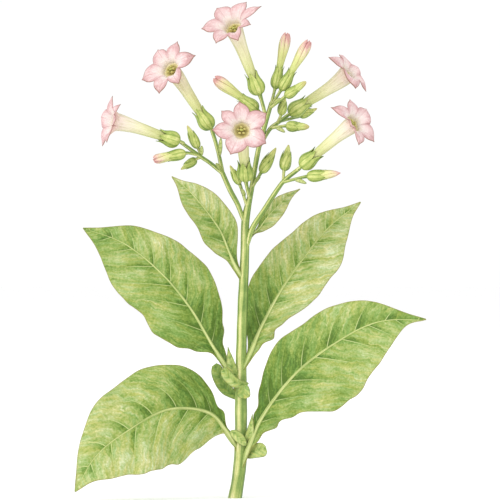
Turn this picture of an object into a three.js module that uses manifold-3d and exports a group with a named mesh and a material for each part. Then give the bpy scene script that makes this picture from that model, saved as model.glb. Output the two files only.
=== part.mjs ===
// A tobacco plant in flower. Millimetres, +X right, +Y back, +Z up.
// The origin is the middle of the flat cut under the main stem, at ground level.
// Every limb, leaf, calyx, flower and bud is one closed solid.
import * as THREE from 'three';
import { mergeVertices } from 'three/addons/utils/BufferGeometryUtils.js';
import Module from 'manifold-3d';

const wasm = await Module();
wasm.setup();

const seatGap = 0.3; // left open where one solid sits against another
const bladeHalf = 0.55; // half the thickness of a leaf blade at its margin
const bladeCells = [14, 4]; // along and across a large leaf
const shootCells = [6, 2]; // along and across a small leaf
const limbSides = 8;
const petalHalf = 0.6; // half the thickness of a flower's limb
const bladeTrough = 0.16; // how steeply a blade's halves rise towards the viewer from the midrib
const bladeDroop = 0.0035; // how fast they turn back again, for each millimetre squared
const leafRib = 1.5; // how much thicker a leaf is on each side at the foot of its midrib
const shootRib = 0.5;

const finishes = {
  stem: new THREE.MeshStandardMaterial({ color: 0xb4c46f, roughness: 0.6 }),
  leaf: new THREE.MeshStandardMaterial({ color: 0x9db568, roughness: 0.65 }),
  calyx: new THREE.MeshStandardMaterial({ color: 0xa6bb60, roughness: 0.6 }),
  petal: new THREE.MeshStandardMaterial({ color: 0xf3d9d6, roughness: 0.6 }),
  bud: new THREE.MeshStandardMaterial({ color: 0xbfcb76, roughness: 0.6 }),
};

// Limbs: points [x, y, z, radius] from the foot to the end.
const limbs = {
  main_stem: {
    rings: 18,
    sides: 10,
    points: [
      [-1, 0, -6, 5.1], [2.5, 0, 14, 5], [4.4, 0, 33, 4.9], [4.8, 0, 75, 4.6], [5.1, 0, 117, 4],
      [6.6, 0, 162, 3.7], [7.7, 0, 190, 3.3], [8.2, 0, 213, 3.1], [12.6, 0.5, 236, 2],
      [18, 1.5, 267, 1.9], [22.6, 2, 284, 1.8], [28, 2, 303, 1.6],
    ],
  },
  left_branch: {
    on: ['main_stem'],
    points: [[7.7, 0, 213, 1.9], [2.3, -2, 224.4, 1.9], [-3.8, -4, 236, 1.9], [-10, -6, 250, 1.8]],
  },
  upper_left_stalk: {
    on: ['left_branch'],
    points: [
      [-9.4, -5.8, 248.6, 1.6], [-12.3, 0, 262.7, 1.5],
      [-15.3, 8, 274.2, 1.5], [-17.6, 14, 281.4, 1.5],
    ],
  },
  left_stalk: {
    on: ['left_branch', 'upper_left_stalk'],
    points: [
      [-9.4, -6, 248.6, 1.5], [-19.1, -12, 256.6, 1.5],
      [-26, -17, 261.2, 1.5], [-41, -25.5, 272, 1.3],
    ],
  },
  right_branch: {
    on: ['main_stem'],
    points: [
      [8.4, 0, 197, 2.2], [12.6, -3, 204.6, 2.2], [22.4, -10, 220.8, 1.9], [33.2, -17, 237.3, 1.8],
      [37.5, -19, 242.8, 1.7], [49.2, -26.4, 252.2, 1.5],
    ],
  },
  upper_right_branch: {
    on: ['main_stem'],
    points: [
      [20.6, 2, 274.5, 1.6], [26.8, 6, 282.7, 1.6],
      [34.5, 14, 288.8, 1.5], [40.6, 19.4, 293.5, 1.4],
    ],
  },
};

// Leaves: the midrib's points, the front-view direction of the blade at foot and tip (degrees from +X),
// half-widths above and below the midrib at leafStations, and how the blade stands in depth:
// lean carries the upper margin back, trough brings both halves forward, wave ruffles the margins.
const leafStations = [0, 0.1, 0.2, 0.3, 0.42, 0.56, 0.7, 0.82, 0.92, 1];
const leaves = {
  lower_left_leaf: {
    midrib: [
      [3, -1, 36.5], [-8, -7, 53], [-19, -13, 65], [-50, -31, 68.5],
      [-79, -48, 54], [-105, -62, 34], [-121, -70, 7],
    ],
    heading: [138, 238],
    upper: [2.6, 3.4, 10, 25.5, 34.6, 36, 31, 18, 7.4, 0.4],
    lower: [2.4, 1.6, 27, 41, 42.4, 38, 30.4, 21.4, 8, 0.4],
    lean: 0.45,
    wave: [2.2, 3.5],
  },
  lower_right_leaf: {
    midrib: [
      [6.5, -1, 29], [16, -5, 49], [23, -9, 66], [46, -20, 95],
      [75, -33, 118], [108, -47, 135], [145, -59, 137.5],
    ],
    heading: [72, 8],
    upper: [2.6, 2.4, 6, 14.8, 25.7, 26, 24.6, 16, 6.4, 0.4],
    lower: [2.4, 3.2, 12.6, 22, 40, 41.9, 33.3, 22, 6.8, 0.4],
    lean: 0.45,
    wave: [2.4, 3],
  },
  middle_left_leaf: {
    midrib: [
      [4, 0, 80], [-7, 6, 101], [-17, 12, 116], [-35, 25, 146],
      [-58, 42, 173], [-86, 60, 195], [-118, 77, 207],
    ],
    heading: [112, 160],
    upper: [2.4, 2.4, 7.6, 19, 28.6, 29.4, 23.4, 14.4, 5.6, 0.4],
    lower: [2.4, 2.6, 5.2, 24.2, 33.4, 33, 34.4, 25, 10, 0.4],
    lean: 0.4,
    wave: [2, 3.5],
  },
  middle_right_leaf: {
    midrib: [
      [6, 0.5, 99], [14, 5, 116], [20, 9, 131], [35, 19, 158], [53, 31, 184], [73, 43, 208], [97, 55, 227],
    ],
    heading: [68, 42],
    upper: [2, 3.8, 12.4, 20.6, 24.6, 22.8, 18.1, 13.2, 4.9, 0.4],
    lower: [2, 4.2, 10.5, 13.8, 23.6, 25.8, 25.4, 16.5, 5.6, 0.4],
    lean: 0.4,
    wave: [1.8, 4],
  },
  upper_left_leaf: {
    midrib: [
      [7, 0, 166], [0, -4, 178], [-4, -7, 187], [-11, -14, 204],
      [-22, -22, 220], [-34, -30, 234], [-48, -36, 246],
    ],
    heading: [112, 142],
    upper: [1.8, 2.6, 5.6, 10.1, 14.6, 14.2, 13, 8.3, 2.8, 0.3],
    lower: [2.2, 3.6, 5.5, 11, 15, 13, 12.8, 9.8, 4.1, 0.3],
    lean: 0.35,
    wave: [1.2, 3],
  },
  upper_right_leaf: {
    midrib: [
      [7.4, 0.5, 196], [13, 4, 202], [18, 8, 206], [24, 12, 214],
      [32, 17, 223], [40, 22, 231], [50, 26, 237],
    ],
    heading: [42, 38],
    upper: [1, 0.9, 1, 2.5, 4.2, 6.2, 5.3, 3, 1.3, 0.3],
    lower: [1.2, 1.7, 1.6, 4.6, 7.7, 8.1, 6.7, 3.8, 1.5, 0.3],
    lean: 0.3,
    wave: [0.6, 2],
  },
};

// Small leaves and side shoots at the leaf nodes: an oval blade of a given half-width on a short midrib.
const smallLeaves = {
  lower_right_bract: { midrib: [[8, -1.5, 33], [15, -5.5, 36], [23.4, -8, 37.5]], half: 5.4, lean: 0.3 },
  lower_right_shoot: { midrib: [[8, -2, 40], [11.5, -7.5, 50], [13.4, -9, 64.7]], half: 3, lean: 0.2 },
  lower_left_bract: { midrib: [[-3.4, -6, 51.5], [1.5, -7.4, 48], [8.6, -7, 40.5]], half: 3.6, lean: -0.1 },
  middle_left_bract: { midrib: [[3, 2, 76], [-8, 5, 84], [-17, 9, 103]], half: 5, lean: 0.3 },
  middle_left_fold: { midrib: [[9.5, -5, 86.5], [0, -8.6, 89], [-10, -8, 98.5]], half: 3.4, lean: -0.2 },
  middle_left_lobe: { midrib: [[7, -4.4, 87], [6.8, -7.6, 82], [6.6, -6.6, 76.5]], half: 4.6, lean: 0 },
  middle_left_shoot: { midrib: [[1.5, -2, 90], [-2.5, -4.5, 100], [-5.4, -6, 116]], half: 3.4, lean: 0.2 },
};

// Flowers: foot of the stalk, base of the calyx, middle of the throat, the limb's facing (degrees from +X
// in the front view, then degrees towards the viewer), how far the lobe tips stand ahead of the throat,
// and each lobe's [angle, reach].
const flowers = {
  top: {
    on: ['main_stem'], foot: [23.6, 2, 292], base: [19.1, -4, 308.7], throat: [-1.1, -14, 359.3],
    facing: [115, 47], bowl: 8,
    lobes: [[30, 25], [69, 22], [135, 21], [193, 23], [249, 21.3], [300, 21.5]],
  },
  upper_left: {
    on: ['upper_left_stalk'], foot: [-17, 12.6, 279.6], base: [-18, 15, 282.7], throat: [-49.4, 20, 328.6],
    facing: [140, 50], bowl: 5,
    lobes: [[25, 24], [81, 21.5], [135, 21.3], [205, 23.5], [264, 22.6], [317, 21]],
  },
  left: {
    on: ['left_stalk'], foot: [-39.6, -24.8, 271], base: [-42.1, -26, 272.7], throat: [-93.1, -46, 287.6],
    facing: [170, 23], bowl: 3,
    lobes: [[35, 22], [91, 20], [155, 20.5], [215, 21], [262, 21], [320, 20]],
  },
  front: {
    on: ['main_stem'], foot: [11.5, 0, 229], base: [8.4, -10, 242.8], throat: [5, -34, 281.1],
    facing: [95, 80], bowl: 9,
    lobes: [[31, 22.5], [94, 21], [137, 20.7], [185, 22.2], [250, 22.4], [327, 22.5]],
  },
  upper_right: {
    on: ['upper_right_branch'], foot: [39.6, 18.6, 292.6], base: [41.4, 20, 294.1],
    throat: [85.8, 26, 324.8],
    facing: [45, 20], bowl: 3,
    lobes: [[0, 17.5], [45, 17.5], [95, 19.6], [140, 21], [240, 21], [295, 18.5]],
  },
  lower_right: {
    on: ['right_branch'], foot: [47.8, -25.6, 251], base: [50.2, -27, 253.2], throat: [89.6, -46, 285.7],
    facing: [35, 38], bowl: 4,
    lobes: [[28, 22], [78, 20.7], [145, 23], [206, 20], [255, 20], [312, 20.7]],
  },
};
const calyxSize = {
  stalk: 1.35, stalkRun: 4, shoulder: 4.6, shoulderAt: 2, belly: 6.4, bellyAt: 7,
  mouth: 4.5, mouthAt: 13, toothAt: 20, toothOut: 5.2, bore: 3.75, floorAt: 9,
};
const corollaSize = {
  seatAt: 9.3, foot: 3, throat: 6, rimBack: 7.4, recessAt: 0.78, recessFloor: 2.2,
  tubeFlare: [[0.3, 3.5], [0.65, 5.6]],
  startPull: 0.3, endPull: 0.22,
};
const lobeSize = { notch: 0.7, shoulder: 0.92, shoulderAt: 0.42 };

// Buds: foot of the stalk on its carrier, base of the calyx, tip, and the greatest width.
// A long bud has a corolla already grown out of its calyx, with a neck and a swollen head.
const buds = {
  tall_bud: {
    on: ['main_stem'], foot: [27.4, 2, 301], base: [30.6, 3, 313.3],
    tip: [39.8, 8, 356.6], width: 10, long: true,
  },
  leaning_bud: {
    on: ['main_stem', 'tall_bud'], foot: [27.6, 2, 301], base: [35, -1, 312],
    tip: [56.7, -10, 350.1], width: 9.2, long: true,
  },
  long_left_bud: {
    on: ['main_stem'], foot: [22.9, 2, 286], base: [17.6, 9, 297.2],
    tip: [-14.6, 18, 321.7], width: 9.8, long: true,
  },
  left_pink_bud: {
    on: ['left_stalk'], foot: [-27, -17.6, 262], base: [-37.5, -26, 264],
    tip: [-62, -36, 258.9], width: 8.4, long: true,
  },
  right_pink_bud: {
    on: ['right_branch'], foot: [36.5, -18.6, 241.6], base: [54.8, -30, 246],
    tip: [80.4, -40, 248.6], width: 9.2, long: true,
  },
  twig_bud: {
    on: ['main_stem', 'leaning_bud'], foot: [26.6, 2, 298.6], base: [38.3, -6, 307.2],
    tip: [54.4, -10, 318.7], width: 7.7,
  },
  high_right_bud: {
    on: ['upper_right_branch'], foot: [32.2, 11.6, 287], base: [35.2, 8, 293.4],
    tip: [38.3, 5, 307.9], width: 6.9,
  },
  back_right_bud: {
    on: ['upper_right_branch'], foot: [34.5, 14, 288.8], base: [49.5, 33, 293],
    tip: [63.2, 38, 299.1], width: 6.4,
  },
  middle_right_bud: {
    on: ['upper_right_branch'], foot: [27.6, 6.6, 283.4], base: [39.1, -1, 285],
    tip: [56.7, -8, 284.2], width: 8.4,
  },
  left_upright_bud: {
    on: ['left_stalk'], foot: [-26, -17, 261.2], base: [-28, -17, 267.6],
    tip: [-36.4, -19, 285], width: 7.3,
  },
  left_drooping_bud: {
    on: ['left_stalk'], foot: [-25.4, -16.6, 260.8], base: [-29.5, -12, 259.6],
    tip: [-41.4, -8, 251.6], width: 6.5,
  },
  front_left_bud: {
    on: ['main_stem'], foot: [9.6, 0, 222], base: [3.8, -5, 240.1], tip: [-3.8, -9, 254.7], width: 6.1,
  },
  front_right_bud: {
    on: ['main_stem'], foot: [13, 0.5, 237.6], base: [19.9, -6, 249], tip: [31.4, -12, 268.1], width: 8.4,
  },
  right_upright_bud: {
    on: ['right_branch'], foot: [37, -18.8, 242.2], base: [37.5, -17, 250.5],
    tip: [41, -14, 270.4], width: 8.8,
  },
};
const budSize = { stalk: 1.15, stalkRun: 0.12, tip: 0.35 };
// Radius as a share of the greatest, at a share of the way from the calyx's base to the tip.
const shortBud = [[0.06, 0.5], [0.2, 0.86], [0.38, 1], [0.58, 0.84], [0.78, 0.5], [0.94, 0.2]];
const longBud = [
  [0.04, 0.5], [0.13, 0.92], [0.24, 1], [0.4, 0.74], [0.55, 0.66], [0.72, 0.78], [0.84, 0.8], [0.95, 0.36],
];

const vector = ([x, y, z]) => new THREE.Vector3(x, y, z);
const throughPoints = (list) => new THREE.CatmullRomCurve3(list.map(vector), false, 'centripetal');
const radians = THREE.MathUtils.degToRad;

// A value read at t from stations that rise from 0 to 1, joined by a smooth curve.
function smoothly(stations, values, t) {
  const last = stations.length - 2;
  const k = Math.min(last, Math.max(0, stations.findIndex((s) => s > t) - 1));
  const i = t >= 1 ? last : k;
  const span = stations[i + 1] - stations[i];
  const u = (t - stations[i]) / span;
  const slope = (a, b) => (values[b] - values[a]) / (stations[b] - stations[a]);
  const before = slope(Math.max(0, i - 1), i + 1) * span;
  const after = slope(i, Math.min(last + 1, i + 2)) * span;
  const rise = values[i + 1] - values[i];
  return values[i] + u * (before + u * (3 * rise - 2 * before - after + u * (before + after - 2 * rise)));
}

// Two directions square to a tangent, the second as near to up as it can be.
function crossAxes(tangent, up) {
  const second = up.clone().addScaledVector(tangent, -up.dot(tangent)).normalize();
  const first = second.clone().cross(tangent);
  return [first, second];
}

// Turns a closed profile of rings on a lathe, then moves each of its points to place(ring, side).
function turned(ringCount, sides, place) {
  const profile = Array.from({ length: ringCount }, (_, j) => new THREE.Vector2(1, j));
  profile[0].x = 0;
  profile[ringCount - 1].x = 0;
  const geometry = new THREE.LatheGeometry(profile, sides);
  const position = geometry.getAttribute('position');
  for (let k = 0; k < position.count; k += 1) {
    const spot = place(k % ringCount, Math.floor(k / ringCount) % sides);
    position.setXYZ(k, spot.x, spot.y, spot.z);
  }
  return geometry;
}

// A round limb along a curve: rings of { u, r } with u from 0 to 1, closed at both ends.
function roundLimb(curve, rings, sides, grow = 0) {
  const up = new THREE.Vector3(0, -1, 0);
  const all = [{ ...rings[0], r: 0 }, ...rings, { ...rings[rings.length - 1], r: 0 }];
  return turned(all.length, sides, (j, side) => {
    const { u, r } = all[j];
    const tangent = curve.getTangent(u);
    const [first, second] = crossAxes(tangent, up);
    const angle = (2 * Math.PI * side) / sides;
    const reach = r > 0 ? r + grow : 0;
    const overrun = j < 2 ? -grow : j > all.length - 3 ? grow : 0;
    return curve.getPoint(u)
      .addScaledVector(tangent, overrun)
      .addScaledVector(first, reach * Math.cos(angle))
      .addScaledVector(second, reach * Math.sin(angle));
  });
}

function limbGeometry({ points, rings = 6, sides = limbSides }, grow = 0) {
  const curve = throughPoints(points);
  const stations = points.map((_, i) => i / (points.length - 1));
  const radii = points.map((p) => p[3]);
  const list = Array.from({ length: rings + 1 }, (_, i) => {
    const u = i / rings;
    return { u, r: smoothly(stations, radii, u) };
  });
  return roundLimb(curve, list, sides, grow);
}

// The way from a leaf's midrib to its upper margin, for each millimetre of the front view.
function acrossBlade(leaf, t) {
  const [from, to] = leaf.heading;
  const heading = radians(from + (to - from) * t);
  const turn = Math.cos(radians((from + to) / 2)) > 0 ? 1 : -1;
  return new THREE.Vector3(-turn * Math.sin(heading), leaf.lean, turn * Math.cos(heading));
}

// A point of a leaf's middle surface: t runs along the midrib and v across it, from -1 below to 1 above.
function bladePoint(leaf, midrib, t, v, grow) {
  const half = smoothly(leafStations, v > 0 ? leaf.upper : leaf.lower, t);
  const offset = v * (half + grow);
  const [height, count] = leaf.wave;
  const ruffle = height * v * v * Math.sin(2 * Math.PI * count * t + 2 * v) * Math.min(1, half / 10);
  const trough = bladeTrough * Math.abs(offset) - bladeDroop * offset * offset;
  const spot = midrib.getPointAt(t).addScaledVector(acrossBlade(leaf, t), offset);
  spot.y += ruffle - trough;
  return spot;
}

// Cuts the cells of a box's back along the same diagonals as those of its front, so that a bent box
// keeps its thickness in every cell.
function matchDiagonals(box) {
  const index = box.getIndex().array;
  const { start, count } = box.groups[5];
  for (let k = start; k < start + count; k += 6) {
    const [a, b, d, , c] = index.slice(k, k + 6);
    index.set([a, b, c, a, c, d], k);
  }
}

// A leaf is a box bent to its blade, thick at the petiole and along the midrib, and thin at the margin.
function leafGeometry(leaf, [along, across], grow = 0) {
  const midrib = throughPoints(leaf.midrib);
  const geometry = new THREE.BoxGeometry(1, 1, 1, along, across, 1);
  matchDiagonals(geometry);
  const position = geometry.getAttribute('position');
  for (let k = 0; k < position.count; k += 1) {
    const t = position.getX(k) + 0.5;
    const v = position.getY(k) * 2;
    const normal = midrib.getTangentAt(t).cross(acrossBlade(leaf, t)).normalize();
    const rib = leaf.rib * (1 - t) ** 2 * (1 - Math.abs(v));
    const side = position.getZ(k) > 0 ? 1 : -1;
    const thick = side * (bladeHalf + rib + grow);
    const spot = bladePoint(leaf, midrib, t, v, grow).addScaledVector(normal, thick);
    position.setXYZ(k, spot.x, spot.y, spot.z);
  }
  return geometry;
}

// A small leaf: the same blade with an oval outline and still margins.
function smallLeaf({ midrib, half, lean }) {
  const foot = midrib[0];
  const tip = midrib[midrib.length - 1];
  const heading = THREE.MathUtils.radToDeg(Math.atan2(tip[2] - foot[2], tip[0] - foot[0]));
  const oval = leafStations.map((t) => {
    const swell = Math.sin(Math.PI * Math.min(1, t + 0.05)) ** 0.7;
    return Math.max(0.5, half * swell);
  });
  const still = [0, 1];
  return { midrib, heading: [heading, heading], upper: oval, lower: oval, lean, wave: still, rib: shootRib };
}

// The frame of a flower: its limb's axes, and the curve from inside the calyx to the throat.
function flowerFrame({ base, throat, facing: [round, forward] }) {
  const end = vector(throat);
  const start = vector(base);
  const normal = new THREE.Vector3(
    Math.cos(radians(forward)) * Math.cos(radians(round)),
    -Math.sin(radians(forward)),
    Math.cos(radians(forward)) * Math.sin(radians(round)),
  );
  const [first, second] = crossAxes(normal, new THREE.Vector3(0, 0, 1));
  const axis = end.clone().sub(start);
  const length = axis.length();
  const chord = axis.clone().normalize();
  const seat = start.clone().addScaledVector(chord, corollaSize.seatAt);
  const spine = new THREE.CubicBezierCurve3(
    seat,
    seat.clone().addScaledVector(chord, length * corollaSize.startPull),
    end.clone().addScaledVector(normal, -length * corollaSize.endPull),
    end,
  );
  return { end, start, normal, first, second, chord, spine };
}

// How far a flower's edge reaches, and at what angle, for each of its sides: four sides to a lobe,
// at its tip, its two shoulders and the notch beside it.
function lobeEdge(lobes) {
  const edge = [];
  lobes.forEach(([angle, reach], i) => {
    const [nextAngle, nextReach] = lobes[(i + 1) % lobes.length];
    const gap = ((nextAngle - angle + 360) % 360) / 2;
    edge.push([angle, reach]);
    edge.push([angle + gap * lobeSize.shoulderAt, reach * lobeSize.shoulder]);
    edge.push([angle + gap, Math.min(reach, nextReach) * lobeSize.notch]);
    edge.push([nextAngle - gap * lobeSize.shoulderAt, nextReach * lobeSize.shoulder]);
  });
  return edge;
}

// The corolla: a trumpet from its foot in the calyx to the lobed limb, and back down into the open throat.
function corollaGeometry(flower, grow = 0) {
  const { end, normal, first, second, spine } = flowerFrame(flower);
  const { foot, throat, rimBack, recessAt, recessFloor, tubeFlare } = corollaSize;
  const edge = lobeEdge(flower.lobes);
  const tube = tubeFlare.map(([u, r]) => ({ u, r }));
  const rings = [
    { u: 0, r: 0 }, { u: 0, r: foot }, ...tube,
    { lift: -petalHalf * 3, r: rimBack },
    { lift: -petalHalf, spread: 1 },
    { lift: petalHalf, spread: 1 },
    { lift: 0, r: throat },
    { u: recessAt, r: recessFloor }, { u: recessAt, r: 0 },
  ];
  return turned(rings.length, edge.length, (j, side) => {
    const { u = 1, r = 0, lift = 0, spread = 0 } = rings[j];
    const [angle, reach] = edge[side];
    const tangent = u < 1 ? spine.getTangent(u) : normal;
    const [a, b] = u < 1 ? crossAxes(tangent, second) : [first, second];
    const outer = spread > 0 ? throat + (reach - throat) * spread : r;
    const grown = outer > 0 && j < 6 ? outer + grow : outer;
    const rise = lift + flower.bowl * spread - (j < 2 ? grow : 0);
    const centre = u < 1 ? spine.getPoint(u) : end.clone();
    return centre
      .addScaledVector(tangent, rise)
      .addScaledVector(a, grown * Math.cos(radians(angle)))
      .addScaledVector(b, grown * Math.sin(radians(angle)));
  });
}

// The calyx and its stalk: a cup with five teeth, its bore left open round the foot of the flower.
function calyxGeometry(flower) {
  const { start, chord } = flowerFrame(flower);
  const size = calyxSize;
  const mouth = start.clone().addScaledVector(chord, size.toothAt);
  const foot = vector(flower.foot);
  const bend = start.clone().addScaledVector(chord, -size.stalkRun);
  const stalk = new THREE.QuadraticBezierCurve3(foot, bend, start);
  const rings = [
    { u: 0, r: 0 }, { u: 0, r: size.stalk }, { u: 0.98, r: size.stalk },
    { at: size.shoulderAt, r: size.shoulder }, { at: size.bellyAt, r: size.belly },
    { at: size.mouthAt, r: size.mouth, tooth: true },
    { at: size.mouthAt - 1, r: size.bore }, { at: size.floorAt, r: size.bore }, { at: size.floorAt, r: 0 },
  ];
  const sides = 10;
  const up = new THREE.Vector3(0, -1, 0.2).normalize();
  return turned(rings.length, sides, (j, side) => {
    const { u, at = 0, r, tooth } = rings[j];
    const onStalk = u !== undefined;
    const tangent = onStalk ? stalk.getTangent(u) : chord;
    const [a, b] = crossAxes(tangent, up);
    const raised = tooth && side % 2 === 0;
    const reach = raised ? size.toothOut : r;
    const height = raised ? size.toothAt : at;
    const centre = onStalk ? stalk.getPoint(u) : start.clone().lerp(mouth, height / size.toothAt);
    const angle = (2 * Math.PI * side) / sides;
    return centre.addScaledVector(a, reach * Math.cos(angle)).addScaledVector(b, reach * Math.sin(angle));
  });
}

// A bud and its stalk, turned as one limb along the bent stalk and the straight bud.
function budGeometry({ foot, base, tip, width, long }, grow = 0) {
  const start = vector(base);
  const axis = vector(tip).sub(start);
  const bend = start.clone().addScaledVector(axis, -budSize.stalkRun);
  const stalk = new THREE.QuadraticBezierCurve3(vector(foot), bend, start);
  const body = new THREE.LineCurve3(start, vector(tip));
  const curve = new THREE.CurvePath();
  curve.add(stalk);
  curve.add(body);
  const whole = curve.getLength();
  const split = stalk.getLength() / whole;
  const profile = long ? longBud : shortBud;
  const rings = [
    { u: 0, r: budSize.stalk },
    { u: split * 0.97, r: budSize.stalk },
    ...profile.map(([share, r]) => ({ u: split + (1 - split) * share, r: (r * width) / 2 })),
    { u: 1, r: budSize.tip },
  ];
  return roundLimb(curve, rings, long ? 7 : 6, grow);
}

// A geometry as a manifold solid: shared vertices merged, and faces that closed to a line at a pole left out.
function solidOf(geometry) {
  const plain = new THREE.BufferGeometry();
  plain.setAttribute('position', geometry.getAttribute('position'));
  plain.setIndex(geometry.getIndex());
  const merged = mergeVertices(plain, 1e-3);
  const source = merged.getIndex().array;
  const faces = [];
  for (let k = 0; k < source.length; k += 3) {
    const [a, b, c] = [source[k], source[k + 1], source[k + 2]];
    if (a !== b && b !== c && c !== a) faces.push(a, b, c);
  }
  const vertProperties = merged.getAttribute('position').array;
  return new wasm.Manifold(new wasm.Mesh({ numProp: 3, vertProperties, triVerts: new Uint32Array(faces) }));
}

function geometryOf(solid) {
  const { vertProperties, triVerts } = solid.getMesh();
  const geometry = new THREE.BufferGeometry();
  geometry.setAttribute('position', new THREE.BufferAttribute(vertProperties, 3));
  geometry.setIndex(new THREE.BufferAttribute(triVerts, 1));
  geometry.computeVertexNormals();
  return geometry;
}

// Cuts a solid back from those it sits against, and keeps its largest body.
function seated(solid, neighbours) {
  const cut = neighbours.reduce((rest, neighbour) => rest.subtract(neighbour), solid);
  const bodies = cut.decompose();
  return bodies.reduce((best, body) => (body.volume() > best.volume() ? body : best));
}

const plant = new THREE.Group();
const grown = new Map(); // each carrier a seat gap larger, for cutting what sits on it

function addPiece(name, solid, finish) {
  const mesh = new THREE.Mesh(geometryOf(solid), finishes[finish]);
  mesh.name = name;
  plant.add(mesh);
}

const carriers = (names) => names.map((name) => grown.get(name));

// The ground cuts the main stem off flat.
const belowGround = solidOf(new THREE.BoxGeometry(40, 40, 20).translate(0, 0, -10));

for (const [name, limb] of Object.entries(limbs)) {
  const cutters = name === 'main_stem' ? [belowGround] : carriers(limb.on);
  grown.set(name, solidOf(limbGeometry(limb, seatGap)));
  addPiece(name, seated(solidOf(limbGeometry(limb)), cutters), 'stem');
}

for (const [name, leaf] of Object.entries(leaves)) {
  const ribbed = { ...leaf, rib: leafRib };
  grown.set(name, solidOf(leafGeometry(ribbed, bladeCells, seatGap)));
  addPiece(name, seated(solidOf(leafGeometry(ribbed, bladeCells)), carriers(['main_stem'])), 'leaf');
}

for (const [name, spec] of Object.entries(smallLeaves)) {
  const leaf = smallLeaf(spec);
  const node = name.split('_').slice(0, 2).join('_');
  const near = Object.keys(leaves).filter((other) => other.startsWith(node));
  const others = Object.keys(smallLeaves).filter((other) => grown.has(other));
  const cutters = carriers(['main_stem', ...near, ...others]);
  grown.set(name, solidOf(leafGeometry(leaf, shootCells, seatGap)));
  addPiece(name, seated(solidOf(leafGeometry(leaf, shootCells)), cutters), 'leaf');
}

for (const [name, flower] of Object.entries(flowers)) {
  const hollow = solidOf(corollaGeometry(flower, seatGap));
  addPiece(`${name}_corolla`, solidOf(corollaGeometry(flower)), 'petal');
  const calyx = seated(solidOf(calyxGeometry(flower)), [...carriers(flower.on), hollow]);
  addPiece(`${name}_calyx`, calyx, 'calyx');
}

for (const [name, bud] of Object.entries(buds)) {
  grown.set(name, solidOf(budGeometry(bud, seatGap)));
  addPiece(name, seated(solidOf(budGeometry(bud)), carriers(bud.on)), 'bud');
}

export default plant;
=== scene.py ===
from functools import partial
import math

import bpy
import numpy as np
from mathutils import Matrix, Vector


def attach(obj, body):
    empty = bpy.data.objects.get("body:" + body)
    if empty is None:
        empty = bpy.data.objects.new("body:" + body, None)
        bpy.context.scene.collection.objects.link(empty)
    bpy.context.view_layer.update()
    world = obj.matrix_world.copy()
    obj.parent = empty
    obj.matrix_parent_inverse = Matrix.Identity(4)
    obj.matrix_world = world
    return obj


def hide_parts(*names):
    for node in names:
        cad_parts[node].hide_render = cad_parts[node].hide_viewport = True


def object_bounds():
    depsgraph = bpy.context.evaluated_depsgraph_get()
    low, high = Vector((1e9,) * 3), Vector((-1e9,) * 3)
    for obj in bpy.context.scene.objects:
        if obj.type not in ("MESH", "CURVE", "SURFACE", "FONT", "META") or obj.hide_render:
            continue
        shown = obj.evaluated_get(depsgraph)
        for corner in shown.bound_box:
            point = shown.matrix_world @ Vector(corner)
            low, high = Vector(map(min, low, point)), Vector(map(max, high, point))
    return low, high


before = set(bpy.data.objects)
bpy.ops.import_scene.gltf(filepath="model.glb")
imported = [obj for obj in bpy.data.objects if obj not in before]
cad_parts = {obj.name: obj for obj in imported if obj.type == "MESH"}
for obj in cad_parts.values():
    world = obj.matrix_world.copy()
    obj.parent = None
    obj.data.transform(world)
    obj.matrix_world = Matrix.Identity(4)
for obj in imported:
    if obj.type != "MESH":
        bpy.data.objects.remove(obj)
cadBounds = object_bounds()
print("frame loaded:", len(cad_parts), "nodes")

mm = 0.001
fullTurn = 2 * math.pi
front = (0, -1, 0)
spanSpots = 40  # spots on a smooth curve from one of its points to the next


# Curves and surfaces, in millimetres

def unit(rows):
    return rows / np.maximum(np.linalg.norm(rows, axis=-1, keepdims=True), 1e-9)


def risen(u, rise, leave, arrive):
    # How far a cubic curve has risen at u, between its slopes where it leaves and where it arrives.
    return u * (leave + u * (3 * rise - 2 * leave - arrive + u * (leave + arrive - 2 * rise)))


def smoothly(stations, values, t):
    # A value read at t from rising stations, joined by a smooth curve.
    stations, values = np.array(stations, float), np.array(values, float)
    last = len(stations) - 1
    i = np.clip(np.searchsorted(stations, t, side="right") - 1, 0, last - 1)

    def slope(a, b):
        return (values[b] - values[a]) / (stations[b] - stations[a])

    span = stations[i + 1] - stations[i]
    u = np.clip((t - stations[i]) / span, 0, 1)
    before = slope(np.maximum(i - 1, 0), i + 1) * span
    after = slope(i, np.minimum(i + 2, last)) * span
    return values[i] + risen(u, values[i + 1] - values[i], before, after)


def eased(start, end, value):
    # 0 at start, 1 at end and a soft step between them.
    u = np.clip((value - start) / (end - start), 0, 1)
    return u * u * (3 - 2 * u)


def throughPoints(points):
    # Spots along a smooth curve through the points, close together.
    known = np.array(points, float)[:, :3]
    known = np.vstack([2 * known[0] - known[1], known, 2 * known[-1] - known[-2]])
    u = np.linspace(0, 1, spanSpots, endpoint=False)[:, None]
    spots = []
    for p0, p1, p2, p3 in zip(known, known[1:], known[2:], known[3:]):
        g0, g1, g2 = (np.sum((b - a) ** 2) ** 0.25 for a, b in ((p0, p1), (p1, p2), (p2, p3)))
        leave = ((p1 - p0) / g0 - (p2 - p0) / (g0 + g1) + (p2 - p1) / g1) * g1
        arrive = ((p2 - p1) / g1 - (p3 - p1) / (g1 + g2) + (p3 - p2) / g2) * g1
        spots.append(p1 + risen(u, p2 - p1, leave, arrive))
    return np.vstack(spots + [known[-2:-1]])


def bezier(*knots, samples=120):
    # Spots along a Bezier curve with any number of control points.
    u = np.linspace(0, 1, samples)[:, None]
    rows = [np.array(k, float)[None, :] + 0 * u for k in knots]
    while len(rows) > 1:
        rows = [a + (b - a) * u for a, b in zip(rows, rows[1:])]
    return rows[0]


def lengthOf(spots):
    return np.linalg.norm(np.diff(spots, axis=0), axis=1).sum()


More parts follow.
